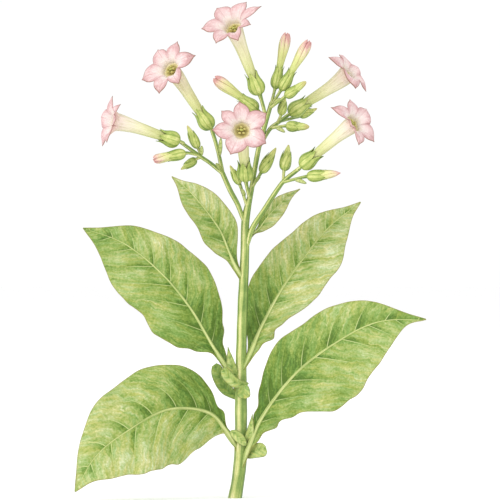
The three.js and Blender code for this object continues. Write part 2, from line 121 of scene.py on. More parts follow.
def sharesOf(spots):
    # How far along a curve each of its spots lies, as a share of its length.
    steps = np.linalg.norm(np.diff(spots, axis=0), axis=1)
    return np.concatenate([[0], np.cumsum(steps)]) / steps.sum()


def alongCurve(spots, t):
    # Places and directions at shares t of a curve's length.
    shares = sharesOf(spots)
    slopes = np.gradient(spots, shares, axis=0)
    place, heading = (np.stack([np.interp(t, shares, rows[:, k]) for k in range(3)], axis=-1)
                      for rows in (spots, slopes))
    return place, unit(heading)


def crossAxes(tangent, up):
    # Two directions square to a tangent, the second as near to up as it can be.
    up = np.broadcast_to(np.array(up, float), tangent.shape)
    second = unit(up - tangent * np.sum(up * tangent, axis=-1, keepdims=True))
    return np.cross(second, tangent), second


def around(first, second, angle):
    # Directions at an angle from first towards second.
    return first * np.cos(angle)[:, None] + second * np.sin(angle)[:, None]


def girthAt(radius, angle, along):
    # Where a spot lies round and along a piece, in millimetres, for streaks and veins.
    return radius * np.cos(angle), radius * np.sin(angle), along


def pick(*pieces):
    # Selects these pieces alone, and makes the first one active.
    bpy.ops.object.select_all(action="DESELECT")
    for piece in pieces:
        piece.select_set(True)
    bpy.context.view_layer.objects.active = pieces[0]


def bentGrid(name, cells, place, form="solid"):
    # A flat grid bent so that its point at (u, v), each from 0 to 1, goes where place says. place also gives
    # the marks, sets of three values that materials read. A solid and a cup are welded where edges meet.
    bpy.ops.object.select_all(action="DESELECT")
    bpy.ops.mesh.primitive_grid_add(x_subdivisions=cells[0], y_subdivisions=cells[1], size=1)
    piece = bpy.context.object
    piece.name = name
    mesh = piece.data
    flat = np.empty(len(mesh.vertices) * 3)
    mesh.vertices.foreach_get("co", flat)
    u, v = flat.reshape(-1, 3)[:, :2].T + 0.5
    spots, marks = place(u, v)
    for mark, values in marks.items():
        attribute = mesh.attributes.new(mark, "FLOAT_VECTOR", "POINT")
        attribute.data.foreach_set("vector", np.stack(values, axis=-1).astype(np.float32).ravel())
    mesh.vertices.foreach_set("co", (spots * mm).astype(np.float32).ravel())
    mesh.update()
    if form != "sheet":
        bpy.ops.object.mode_set(mode="EDIT")
        bpy.ops.mesh.select_all(action="SELECT")
        bpy.ops.mesh.remove_doubles(threshold=0.004 * mm)
        if form == "cup":
            bpy.ops.mesh.flip_normals()
        else:
            bpy.ops.mesh.normals_make_consistent(inside=False)
        bpy.ops.object.mode_set(mode="OBJECT")
    return piece


def thicken(piece, thickness, offset=-1, innerFace=0, rimFace=0):
    # Gives a sheet or cup its wall, in millimetres. innerFace and rimFace say which material those faces get,
    # counted on from the outer face's own.
    pick(piece)
    bpy.ops.object.modifier_add(type="SOLIDIFY")
    wall = piece.modifiers[-1]
    wall.thickness = thickness * mm
    wall.offset = offset
    wall.material_offset = innerFace
    wall.material_offset_rim = rimFace
    bpy.ops.object.modifier_apply(modifier=wall.name)


def joined(name, *pieces):
    pick(*pieces)
    bpy.ops.object.join()
    pieces[0].name = name
    return pieces[0]


def paint(piece, *materials):
    for material in materials:
        piece.data.materials.append(material)
    return piece


def settle(piece, node):
    # Smooths a finished piece, and hangs it on the frame in place of its CAD node.
    pick(piece)
    bpy.ops.object.shade_smooth()
    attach(piece, "root")
    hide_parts(node)


# Materials

def linear(hexColour):
    # An sRGB hex colour as linear red, green, blue and alpha.
    parts = [int(hexColour[i:i + 2], 16) / 255 for i in (1, 3, 5)]
    return [p / 12.92 if p <= 0.04045 else ((p + 0.055) / 1.055) ** 2.4 for p in parts] + [1.0]


def addNode(tree, kind, inputs=None, give=0, stops=(), **settings):
    # Adds a node and gives one of its outputs, or several: inputs are sockets to link or values to set.
    node = tree.nodes.new("ShaderNode" + kind)
    for key, value in settings.items():
        setattr(node, key, value)
    for key, value in (inputs or {}).items():
        if isinstance(value, bpy.types.NodeSocket):
            tree.links.new(value, node.inputs[key])
        else:
            node.inputs[key].default_value = linear(value) if isinstance(value, str) else value
    if stops:
        while len(node.color_ramp.elements) < len(stops):
            node.color_ramp.elements.new(1)
        for element, (position, colour) in zip(node.color_ramp.elements, stops):
            element.position, element.color = position, linear(colour)
    return node.outputs[give]


def newMaterial(name, roughness, ior=1.42):
    # Gives the material, what adds its nodes, and the place on a piece that its patterns read.
    material = bpy.data.materials.new(name)
    material.use_nodes = True
    shader = material.node_tree.nodes["Principled BSDF"]
    shader.inputs["Roughness"].default_value = roughness
    shader.inputs["IOR"].default_value = ior
    add = partial(addNode, material.node_tree)
    return material, add, add("TexCoord", give="Object")


def finishMaterial(material, colour, height, strength, depth):
    # Feeds the shader its colour and the relief of its grain, depth in millimetres.
    tree = material.node_tree
    shader = tree.nodes["Principled BSDF"]
    bump = addNode(tree, "Bump", {"Strength": strength, "Distance": depth * mm, "Height": height})
    tree.links.new(colour, shader.inputs["Base Color"])
    tree.links.new(bump, shader.inputs["Normal"])
    return material


def leafMaterial(name, form):
    # Living tobacco leaf: a soft, downy blade with fine pale side veins, and a painted shadow just beyond
    # each one near the midrib. Strokes along them, and a bloom that turns the green bluish or olive, give the
    # eye its mottle.
    material, add, spot = newMaterial(name, form["roughness"])
    (above, below, offset), (shade, reach, margin) = (
        add("SeparateXYZ", {0: add("Attribute", attribute_name=mark, give="Vector")}, give=slice(3))
        for mark in ("veinPlace", "bladePlace"))
    isAbove = add("Math", {0: offset, 1: 0.0}, operation="GREATER_THAN")
    phase = add("Mix", {0: isAbove, 2: below, 3: above})
    aside = add("Math", {0: offset}, operation="ABSOLUTE")
    fromVein = add("Math", {0: phase, 1: 0.5}, operation="PINGPONG")
    afterVein = add("Math", {0: phase}, operation="FRACT")
    cloud = add("TexNoise", {"Vector": spot, "Scale": 52.0, "Detail": 5.0, "Roughness": 0.68})  # 19 mm
    speck = add("TexNoise", {"Vector": spot, "Scale": 600.0, "Detail": 2.0})  # 1.7 mm
    wander = add("Math", {0: cloud, 1: 0.9, 2: phase}, operation="MULTIPLY_ADD")
    strokeAt = add("CombineXYZ", {0: wander, 1: aside, 2: isAbove})
    # strokes 5 mm wide and 14 mm long, fine ones of 1.3 by 6 mm, and a bloom of 4 by 12 mm
    stroke, fine, bloom = (
        add("TexNoise", {"Vector": add("VectorMath", {0: strokeAt, 1: beats}, operation="MULTIPLY"),
                         "Scale": 1.0, "Detail": detail, "Roughness": 0.6, "Distortion": 0.25})
        for beats, detail in (((4.0, 0.07, 7.0), 4.0), ((15.0, 0.17, 9.0), 4.0), ((5.0, 0.08, 3.0), 2.0)))
    # each of these is nothing at its first value, and at its second one the share after it
    inner, beyond, line, fade, rim, cool, warm = (
        add("MapRange", {"Value": value, "From Min": none, "From Max": full, "To Max": share},
            interpolation_type=step)
        for value, none, full, share, step in (
            (reach, 0.75, 0, 1, "SMOOTHSTEP"), (afterVein, 0.42, 0, 1, "SMOOTHSTEP"),
            (fromVein, 0.022, 0.006, form["veinShare"], "SMOOTHSTEP"), (reach, 0.78, 0.2, 1, "LINEAR"),
            (margin, 0.8, 0.25, 0.7, "LINEAR"), (bloom, 0.48, 0.66, 1, "LINEAR"),
            (bloom, 0.52, 0.34, 1, "LINEAR")))
    # painted shadow just beyond each side vein, near the midrib
    beyond = add("Math", {0: beyond, 1: inner}, operation="MULTIPLY")
    line = add("Math", {0: line, 1: fade}, operation="MULTIPLY")
    tone = add("Math", {0: shade, 1: form["level"]}, operation="ADD")
    for source, share in ((beyond, -0.3), (stroke, 0.95), (fine, 1.0), (cloud, 0.85), (speck, 0.7)):
        tone = add("Math", {0: source, 1: share * form["contrast"], 2: tone}, operation="MULTIPLY_ADD")
    colour = add("ValToRGB", {0: tone}, stops=form["stops"])
    for share, tint, blend in ((cool, "cool", "MULTIPLY"), (warm, "warm", "MULTIPLY"), (line, "vein", "MIX"),
                               (rim, "rim", "MIX")):
        colour = add("Mix", {0: share, 6: colour, 7: form[tint]}, give=2, data_type="RGBA", blend_type=blend)
    grain = add("Math", {0: fine, 1: 0.7, 2: speck}, operation="MULTIPLY_ADD")
    return finishMaterial(material, colour, grain, 0.3, 0.4)


def stalkMaterial(name, stops):
    # Green herbaceous stem: smooth and softly ribbed, with painted sunlight that makes its left-front side
    # yellower, painted light down its front and back, and painted light along each rib with painted shade in
    # the grooves between.
    material, add, spot = newMaterial(name, 0.5)
    girth, ridges = (add("Attribute", attribute_name=mark, give="Vector")
                     for mark in ("girthPlace", "ridgePlace"))
    ridge, foot, paintedSunlight = add("SeparateXYZ", {0: ridges}, give=slice(3))
    # streaks of 0.4 by 20 mm
    streakAt = add("VectorMath", {0: girth, 1: (2.6, 2.6, 0.05)}, operation="MULTIPLY")
    streak = add("TexNoise", {"Vector": streakAt, "Scale": 1.0, "Detail": 3.0})
    cloud = add("TexNoise", {"Vector": spot, "Scale": 90.0, "Detail": 2.0})  # 11 mm
    speck = add("TexNoise", {"Vector": spot, "Scale": 900.0})  # 1.1 mm
    tone = -0.77
    # each rib gets painted light and each groove painted shade, the foot is paler, and the painted sunlight
    # lightens the left-front side
    for source, share in ((ridge, 0.2), (foot, 0.25), (paintedSunlight, 0.41), (streak, 1.1), (cloud, 0.6),
                          (speck, 0.25)):
        tone = add("Math", {0: source, 1: share, 2: tone}, operation="MULTIPLY_ADD")
    return finishMaterial(material, add("ValToRGB", {0: tone}, stops=stops), streak, 0.3, 0.3)


def calyxMaterial(name, stops):
    # Calyx of a nightshade: a thin green cup, darker low down and along its ribs, with painted shade in its
    # furrows and on its flanks and painted light on its front and back.
    material, add, spot = newMaterial(name, 0.58)
    girth, teeth, face = (add("Attribute", attribute_name=mark, give="Vector")
                          for mark in ("girthPlace", "toothPlace", "facePlace"))
    aside, height, along = add("SeparateXYZ", {0: teeth}, give=slice(3))
    face = add("SeparateXYZ", {0: face})
    # streaks of 0.6 by 8 mm
    streakAt = add("VectorMath", {0: girth, 1: (1.6, 1.6, 0.12)}, operation="MULTIPLY")
    streak = add("TexNoise", {"Vector": streakAt, "Scale": 1.0, "Detail": 3.0})
    cloud = add("TexNoise", {"Vector": spot, "Scale": 240.0, "Detail": 1.0})  # 4 mm
    # where each of these starts and where it is full
    rib, paintedFurrowShade, tooth, low, lip = (
        add("MapRange", {"Value": value, "From Min": none, "From Max": full}, interpolation_type="SMOOTHSTEP")
        for value, none, full in (
            (aside, 0.2, 0), (aside, 0.7, 1), (height, 0.42, 0.85), (height, 0.2, 0), (along, 0.9, 1)))
    tone = 0.1
    # painted light where the cup faces front or back, painted shade on its flanks and in its furrows
    for source, share in ((face, 0.38), (rib, -0.24), (paintedFurrowShade, -0.3), (tooth, -0.06), (low, -0.26),
                          (lip, -0.04), (streak, 0.6), (cloud, 0.5)):
        tone = add("Math", {0: source, 1: share, 2: tone}, operation="MULTIPLY_ADD")
    return finishMaterial(material, add("ValToRGB", {0: tone}, stops=stops), streak, 0.3, 0.3)


def petalMaterial(name, form):
    # Thin corolla tissue: matt and velvety, clouded and streaked, with fine veins that run out to a thin
    # brownish margin, painted crease shade down each lobe, between lobes and in a bud's grooves, and, on a
    # tube or a bud, painted shade that greens its flanks.
    material, add, spot = newMaterial(name, 0.65, 1.38)
    girth, petal, face = (add("Attribute", attribute_name=mark, give="Vector")
                          for mark in ("girthPlace", "petalPlace", "facePlace"))
    across, run, out = add("SeparateXYZ", {0: petal}, give=slice(3))
    face = add("SeparateXYZ", {0: face})
    aside = add("Math", {0: across}, operation="ABSOLUTE")
    cloud = add("TexNoise", {"Vector": spot, "Scale": 150.0, "Detail": 3.0})  # 7 mm
    # strokes of 1.2 by 17 mm, and veins of 0.7 by 17 mm
    stroke, vein = (
        add("TexNoise", {"Vector": add("VectorMath", {0: girth, 1: (beat, beat, 0.06)}, operation="MULTIPLY"),
                         "Scale": 1.0, "Detail": detail, "Roughness": roughness})
        for beat, detail, roughness in ((0.8, 2.0, 0.5), (1.5, 3.0, 0.65)))
    sides = add("Math", {0: aside, 1: aside}, operation="MULTIPLY")
    shift = -0.5
    for source, share in ((sides, 0.12), (cloud, 0.5), (stroke, 0.5)):
        shift = add("Math", {0: source, 1: share, 2: shift}, operation="MULTIPLY_ADD")
    loose = add("Math", {0: out, 1: 0.25}, operation="MAXIMUM")
    place = add("Math", {0: shift, 1: loose, 2: run}, operation="MULTIPLY_ADD")
    colour = add("ValToRGB", {0: place}, stops=form["stops"])
    # each of these is nothing at its first value, and at its second one the share after it
    veins, paintedFlankShade, middle, crease, outer, rim = (
        add("MapRange", {"Value": value, "From Min": none, "From Max": full, "To Max": share})
        for value, none, full, share in (
            (vein, 0.5, 0.75, form["veinShare"]), (face, 0, -0.5, form["paintedFlankShadeShare"]),
            (aside, form["paintedCreaseWidth"], 0, 1), (aside, 0.82, 1, 1), (out, 0, 0.7, form["paintedCreaseShadeShare"]),
            (out, 0.92, 0.965, 0.9)))
    # painted crease shade: down the middle of each lobe and where two lobes meet, stronger out on the limb
    lines = add("Math", {0: middle, 1: crease}, operation="ADD")
    paintedCreaseShade = add("Math", {0: lines, 1: outer}, operation="MULTIPLY")
    # the flanks get painted shade and the creases painted crease shade
    for share, tint in ((veins, "vein"), (paintedFlankShade, "paintedFlankShade"), (paintedCreaseShade, "fold"), (rim, "rim")):
        colour = add("Mix", {0: share, 6: colour, 7: form[tint]}, give=2, data_type="RGBA")
    return finishMaterial(material, colour, vein, 0.25, 0.3)


def tissueMaterial(name, pale, deep, roughness, size):
    # Small fleshy parts of a flower, moist or dusty, mottled between two colours at a size in millimetres.
    material, add, spot = newMaterial(name, roughness)
    cloud = add("TexNoise", {"Vector": spot, "Scale": 1 / (size * mm), "Detail": 2.0})
    colour = add("ValToRGB", {0: cloud}, stops=[(0.35, deep), (0.65, pale)])
    return finishMaterial(material, colour, cloud, 0.2, 0.2)


leafUpper = leafMaterial("leafUpperSide", {
    "stops": [(0.0, "#4b6a18"), (0.22, "#66852e"), (0.45, "#8aa04e"), (0.7, "#aeb775"), (1.0, "#d4d5aa")],
    "vein": "#c8d08c", "veinShare": 0.82, "rim": "#8f8746", "roughness": 0.6, "level": -0.9, "contrast": 0.83,
    "cool": "#eafafb", "warm": "#fff8d9",
})
leafUnder = leafMaterial("leafUnderSide", {
    "stops": [(0.0, "#76905a"), (0.25, "#8ba36a"), (0.5, "#a0b37a"), (0.75, "#b3c18b"), (1.0, "#c8d1a4")],
    "vein": "#c6ce99", "veinShare": 0.8, "rim": "#8f8c4e", "roughness": 0.72, "level": -0.79, "contrast": 0.8,
    "cool": "#edfcfc", "warm": "#fff9df",
})
leafYoung = leafMaterial("leafYoung", {
    "stops": [(0.0, "#557430"), (0.25, "#728e40"), (0.5, "#95a95a"), (0.75, "#b8c078"), (1.0, "#d7d9a0")],
    "vein": "#c6d08a", "veinShare": 0.3, "rim": "#6f7f3c", "roughness": 0.6, "level": -0.72, "contrast": 0.75,
    "cool": "#e9fbfb", "warm": "#fff8d4",
})
leafRib = stalkMaterial("leafMidrib", [
    (0.0, "#7f964a"), (0.3, "#a3b268"), (0.6, "#c3ca84"), (1.0, "#d9dca2"),
])
stemGreen = stalkMaterial("stemGreen", [
    (0.0, "#577533"), (0.25, "#7b9547"), (0.5, "#a3b263"), (0.75, "#cecd87"), (1.0, "#e3dfac"),
])
calyxGreen = calyxMaterial("calyxGreen", [
    (0.0, "#4f6d2c"), (0.25, "#6f8a3e"), (0.5, "#93a750"), (0.75, "#b9c26e"), (1.0, "#dbdc94"),
])
petalInside = petalMaterial("petalInside", {
    "stops": [(0.0, "#857d3c"), (0.15, "#a1984f"), (0.3, "#c6bc7c"), (0.42, "#dbd2a2"), (0.56, "#e6ddc4"),
              (0.68, "#eae0da"), (0.8, "#e1cac8"), (0.9, "#d5b4b3"), (1.0, "#c59d9d")],
    # the fold colour is painted crease shade, the flank colour painted shade on the flanks, which this one
    # leaves out
    "vein": "#cfa09f", "veinShare": 0.6, "fold": "#b78583", "paintedCreaseShadeShare": 0.7, "paintedCreaseWidth": 0.07,
    "rim": "#946c5a", "paintedFlankShade": "#c9bf9a", "paintedFlankShadeShare": 0.0,
})
petalOutside = petalMaterial("petalOutside", {
    "stops": [(0.0, "#b5c176"), (0.16, "#cbcf90"), (0.34, "#e1deb2"), (0.48, "#eae2c8"), (0.58, "#e9d9cb"),
              (0.78, "#dcb7b1"), (1.0, "#cb9c9c")],
    # the fold colour is painted crease shade, the flank colour painted shade on the tube's flanks
    "vein": "#aa9d5c", "veinShare": 0.85, "fold": "#b98a7e", "paintedCreaseShadeShare": 0.7, "paintedCreaseWidth": 0.08,
    "rim": "#946c5a", "paintedFlankShade": "#98a455", "paintedFlankShadeShare": 0.5,
})
budPetal = petalMaterial("budPetal", {
    "stops": [(0.0, "#a9bb62"), (0.35, "#c2cc7b"), (0.66, "#d8d994"), (0.82, "#e2d5ae"), (0.91, "#dfbcae"),
              (1.0, "#cb9694")],
    # the fold colour is painted shade in the grooves, the flank colour painted shade on the flanks
    "vein": "#a99a5c", "veinShare": 0.5, "fold": "#8f5a50", "paintedCreaseShadeShare": 0.95, "paintedCreaseWidth": 0.17,
    "rim": "#b98787", "paintedFlankShade": "#8f9c50", "paintedFlankShadeShare": 0.5,
})
budGreen = petalMaterial("budPetalGreen", {
    "stops": [(0.0, "#a0b45b"), (0.5, "#b6c36f"), (0.85, "#cdd286"), (1.0, "#c2b878")],
    # the fold colour is painted shade in the grooves, the flank colour painted shade on the flanks
    "vein": "#8fa54e", "veinShare": 0.5, "fold": "#7f9544", "paintedCreaseShadeShare": 0.85, "paintedCreaseWidth": 0.14,
    "rim": "#a39a5c", "paintedFlankShade": "#7c9144", "paintedFlankShadeShare": 0.5,
})
filamentCream = tissueMaterial("filamentCream", "#e4dfb4", "#cdc78c", 0.55, 2.0)
antherOlive = tissueMaterial("antherOlive", "#cdc47c", "#a89f52", 0.7, 0.6)
stigmaGreen = tissueMaterial("stigmaGreen", "#b9bb62", "#98994a", 0.4, 0.6)
print("materials made")


# Round limbs

limbForm = {
    "cells": (90, 28), "stemCells": (420, 60), "ribs": (5, 0.05), "wobble": 0.03,
    # shares of the grid's rows that close each end, and that shrink to a point there
    "end": 0.01, "pole": 0.004,
    # how ribs turn and sway along a limb, the beats of its swellings, and how far its pale foot reaches
    "ribTurn": 0.6, "ribSway": (0.3, 0.05), "swell": (0.23, 0.061), "footRun": 14,
    # the painted sunlight: how much lighter it makes the left-front side and at what angle round the limb,
    # how much painted light the front and back get, and the painted shade taken off all round
    "paintedSun": 0.85, "paintedSunAt": 0.55, "front": 0.7, "shade": 0.42,
}


def limbPiece(name, spots, radiusAt, cells, ridges=limbForm["ribs"], wobble=0.0, paleFoot=1.0):
    # A round limb closed at both ends and cut flat at the ground. ridges is how many ribs it has and their
    # height as a share, wobble how much its girth swells, and paleFoot how much paler its foot is.
    form = limbForm
    length = lengthOf(spots)
    count, height = ridges
    sway, swayBeat = form["ribSway"]
    swell, slowSwell = form["swell"]

    def place(u, v):
        t = np.clip((u - form["end"]) / (1 - 2 * form["end"]), 0, 1)
        along = length * t
        centre, tangent = alongCurve(spots, t)
        first, second = crossAxes(tangent, front)
        angle = fullTurn * v
        radius = radiusAt(t)
        ridge = np.cos(count * angle + form["ribTurn"] + sway * np.sin(along * swayBeat))
        girth = radius * (1 + height * ridge)
        girth = girth * (1 + wobble * np.sin(along * swell) * np.sin(along * slowSwell + 1))
        girth = np.where((u < form["pole"]) | (u > 1 - form["pole"]), 0, girth)
        out = around(first, second, angle)
        spot = centre + out * girth[:, None]
        spot[:, 2] = np.maximum(spot[:, 2], 0)
        # painted light and shade: painted sunlight on the left-front side, painted light down the front and
        # back, and painted shade on the far sides
        paintedSunlight = form["paintedSun"] * np.cos(angle - form["paintedSunAt"]) + form["front"] * out[:, 1] ** 2 - form["shade"]
        marks = {
            "girthPlace": girthAt(radius, angle, along),
            "ridgePlace": (ridge, paleFoot * eased(form["footRun"], 0, along), paintedSunlight),
        }
        return spot, marks

    return bentGrid(name, cells, place)


# points along the middle of each limb, with its radius there
limbShape = {
    "main_stem": [
        [-1, 0, -6, 5.1], [2.5, 0, 14, 5], [4.4, 0, 33, 4.9], [4.8, 0, 75, 4.6], [5.1, 0, 117, 4],
        [6.6, 0, 162, 3.7], [7.7, 0, 190, 3.3], [8.2, 0, 213, 3.1], [12.6, 0.5, 236, 2],
        [18, 1.5, 267, 1.9], [22.6, 2, 284, 1.8], [28, 2, 303, 1.6],
    ],
    "left_branch": [[7.7, 0, 209, 1.2], [2.3, -2, 224.4, 1.9], [-3.8, -4, 236, 1.9], [-10, -6, 250, 1.8]],
    "upper_left_stalk": [
        [-9.4, -5.8, 248.6, 1.6], [-12.3, 0, 262.7, 1.5], [-15.3, 8, 274.2, 1.5], [-17.6, 14, 281.4, 1.5],
    ],
    "left_stalk": [
        [-9.4, -6, 248.6, 1.5], [-19.1, -12, 256.6, 1.5], [-26, -17, 261.2, 1.5], [-41, -25.5, 272, 1.3],
    ],
    "right_branch": [
        [8.6, -0.6, 190, 1.2], [12.6, -3, 204.6, 2.2], [22.4, -10, 220.8, 1.9], [33.2, -17, 237.3, 1.8],
        [37.5, -19, 242.8, 1.7], [49.2, -26.4, 252.2, 1.5],
    ],
    "upper_right_branch": [
        [19.6, 1.8, 270, 1.1], [26.8, 6, 282.7, 1.6], [34.5, 14, 288.8, 1.5], [40.6, 19.4, 293.5, 1.4],
    ],
}
for node, points in limbShape.items():
    spots, radii = throughPoints(points), [point[3] for point in points]
    stations = sharesOf(spots)[::spanSpots]
    cells = limbForm["stemCells" if node == "main_stem" else "cells"]
    limb = limbPiece(node + "_limb", spots, lambda t: smoothly(stations, radii, t), cells,
                     wobble=limbForm["wobble"])
    paint(limb, stemGreen)
    settle(limb, node)
print("stem and branches made")


# Leaves

bladeForm = {
    "stations": [0, 0.1, 0.2, 0.3, 0.42, 0.56, 0.7, 0.82, 0.92, 1], "thickness": 0.45, "arch": (0.2, 0.2),
    # the fall of the blade from its midrib, and the swelling between side veins where a half is wide enough
    "trough": 0.16, "droop": 0.0035, "quilt": 1.3, "quiltWidth": (3, 22),
    # waves of the margin: gathers on a ruffled stretch, a frill, and coarse and fine lumps
    "gather": 17, "frill": 0.6, "frillBeat": 2.7, "lump": 0.018, "lumpBeats": (0.19, 0.47), "fineLump": 0.15,
    # where tones are given, how much painted shade darkens the blade by its midrib, the more on its upper
    # half, and how much painted light brightens it where it swells
    "toneStations": [0.08, 0.3, 0.5, 0.7, 0.9], "paintedMidribShade": 0.12, "paintedUpperMidribShade": 0.02, "paintedSwellLight": 0.16,
}
# heading is the way the midrib runs at foot and tip in degrees; upper and lower are half widths at the
# stations; sweep and arch are how far a side vein runs ahead and how it bends; rib is the midrib's thickness;
# tones are how light each half is, painted light and shade together with the leaf's own tone;
# ruffles give side, place, width, height and swing
leafShape = {
    "lower_left_leaf": {
        "midrib": [[3, -1, 36.5], [-8, -7, 53], [-19, -13, 65], [-50, -31, 68.5], [-79, -48, 54],
                   [-105, -62, 34], [-121, -70, 7]],
        "heading": (138, 238), "lean": 0.45, "wave": (2.2, 3.5),
        "upper": [2.6, 3.4, 10, 25.5, 34.6, 36, 31, 18, 7.4, 0.4],
        "lower": [2.4, 1.6, 27, 41, 42.4, 38, 30.4, 21.4, 8, 0.4],
        "upperVeins": [0.13, 0.21, 0.28, 0.38, 0.5, 0.63, 0.76, 0.88],
        "lowerVeins": [0.12, 0.22, 0.32, 0.45, 0.59, 0.73, 0.86],
        "sweep": (0.45, 0.55), "arch": (0.62, 0.1), "rib": 2.6, "cells": (200, 96),
        "tones": ([-0.5, -0.32, -0.04, 0.12, 0.07], [0.1, 0.02, 0.12, 0.14, 0.13]),
        "ruffles": [(1, 0.16, 0.07, 2.5, 2.0), (-1, 0.2, 0.06, 2.0, 0.9)],
    },
    "lower_right_leaf": {
        "midrib": [[5.4, -4.4, 24], [10.8, -6.2, 39], [20.5, -8.6, 61], [46, -20, 95], [75, -33, 118],
                   [108, -47, 135], [145, -59, 137.5]],
        "heading": (72, 8), "lean": 0.45, "wave": (2.4, 3),
        "upper": [1.2, 2.4, 6, 14.8, 25.7, 26, 24.6, 16, 5.8, 0.4],
        "lower": [1.2, 3.2, 11.8, 20.8, 39.2, 41.7, 33.3, 21.4, 4.6, 0.4],
        "upperVeins": [0.17, 0.26, 0.34, 0.45, 0.58, 0.71, 0.84],
        "lowerVeins": [0.18, 0.28, 0.38, 0.52, 0.65, 0.77, 0.88],
        "sweep": (1.0, 1.15), "rib": 2.3, "cells": (210, 88),
        "tones": ([-0.6, -0.38, -0.2, 0, -0.26], [-0.12, -0.12, -0.04, 0.08, -0.04]),
        "ruffles": [(-1, 0.2, 0.09, 6.0, 1.7), (1, 0.2, 0.08, 2.5, 1.0)],
    },
    "middle_left_leaf": {
        "midrib": [[4, 0, 80], [-7, 6, 101], [-17, 12, 116], [-35, 25, 146], [-58, 42, 173], [-86, 60, 195],
                   [-118, 77, 207]],
        "heading": (112, 160), "lean": 0.4, "wave": (2, 3.5),
        "upper": [2.4, 2.4, 7.6, 18.6, 27.8, 28.2, 22.4, 14.4, 5.6, 0.4],
        "lower": [2.4, 2.6, 4.8, 23.2, 33.4, 32.6, 34.4, 25, 10, 0.4],
        "upperVeins": [0.14, 0.23, 0.32, 0.43, 0.54, 0.64, 0.75, 0.86],
        "lowerVeins": [0.18, 0.29, 0.41, 0.52, 0.64, 0.76, 0.87],
        "sweep": (1.0, 1.35), "arch": (0.2, 0.25), "rib": 2.4, "cells": (210, 84),
        "tones": ([-0.64, -0.32, -0.03, 0.08, -0.16], [-0.36, -0.28, -0.05, 0.02, -0.1]),
        "ruffles": [(1, 0.25, 0.05, 4.0, 1.2), (-1, 0.24, 0.06, 4.0, 1.5)],
    },
    "middle_right_leaf": {
        "midrib": [[6.4, -3.8, 99], [10.2, -3.2, 107], [14.5, 1, 117], [20.5, 8, 131], [35, 19, 158],
                   [53, 31, 184], [73, 43, 208], [97, 55, 227]],
        "heading": (68, 42), "lean": 0.4, "wave": (1.8, 4),
        "upper": [1.2, 3.8, 12.4, 20.6, 24.6, 22.8, 18.1, 13.2, 4.9, 0.4],
        "lower": [1.2, 4.2, 10.5, 13.8, 23.6, 25.8, 25.4, 16.5, 5.6, 0.4],
        "upperVeins": [0.11, 0.21, 0.32, 0.43, 0.54, 0.66, 0.78, 0.9],
        "lowerVeins": [0.13, 0.23, 0.34, 0.46, 0.58, 0.7, 0.82, 0.92],
        "sweep": (1.0, 1.0), "rib": 2.3, "cells": (180, 76),
        "tones": ([-0.4, -0.32, 0.04, 0.16, 0.1], [-0.1, 0.12, 0.12, 0.22, 0.12]),
        "ruffles": [(-1, 0.2, 0.08, 5.5, 1.8)],
    },
    "upper_left_leaf": {
        "midrib": [[7, 0, 166], [0, -4, 178], [-4, -7, 187], [-11, -14, 204], [-22, -22, 220],
                   [-34, -30, 234], [-48, -36, 246]],
        "heading": (112, 142), "lean": 0.35, "wave": (1.2, 3),
        "upper": [1.8, 2.4, 4.6, 9.6, 14.6, 14.2, 13, 8.3, 2.8, 0.3],
        "lower": [2.2, 2.6, 4.2, 10.4, 15, 13, 12.8, 9.8, 3.7, 0.3],
        "upperVeins": [0.16, 0.31, 0.45, 0.58, 0.71, 0.85],
        "lowerVeins": [0.18, 0.33, 0.5, 0.65, 0.78, 0.9],
        "sweep": (1.1, 1.1), "rib": 2.2, "cells": (130, 48),
        "tones": ([-0.6, 0, 0.06, 0.26, 0.26], [-0.2, 0.06, -0.08, 0.04, 0.1]),
    },
    "upper_right_leaf": {
        "midrib": [[7.4, 0.5, 196], [13, 4, 202], [18, 8, 206], [24, 12, 214], [32, 17, 223], [40, 22, 231],
                   [50, 26, 237]],
        "heading": (42, 38), "lean": 0.3, "wave": (0.6, 2),
        "upper": [1, 0.9, 1, 2.5, 4.2, 6.2, 5.3, 3, 1.3, 0.3],
        "lower": [1.2, 1.7, 1.6, 4.6, 7.7, 8.1, 6.7, 3.8, 1.5, 0.3],
        "upperVeins": [0.2, 0.4, 0.6, 0.8],
        "lowerVeins": [0.3, 0.5, 0.7, 0.88],
        "sweep": (1.1, 1.1), "rib": 1.2, "cells": (100, 32),
        "tones": ([-0.25, -0.4, 0.12, 0.22, 0.14], [-0.65, 0.1, 0.2, 0.25, 0.14]),
    },
}


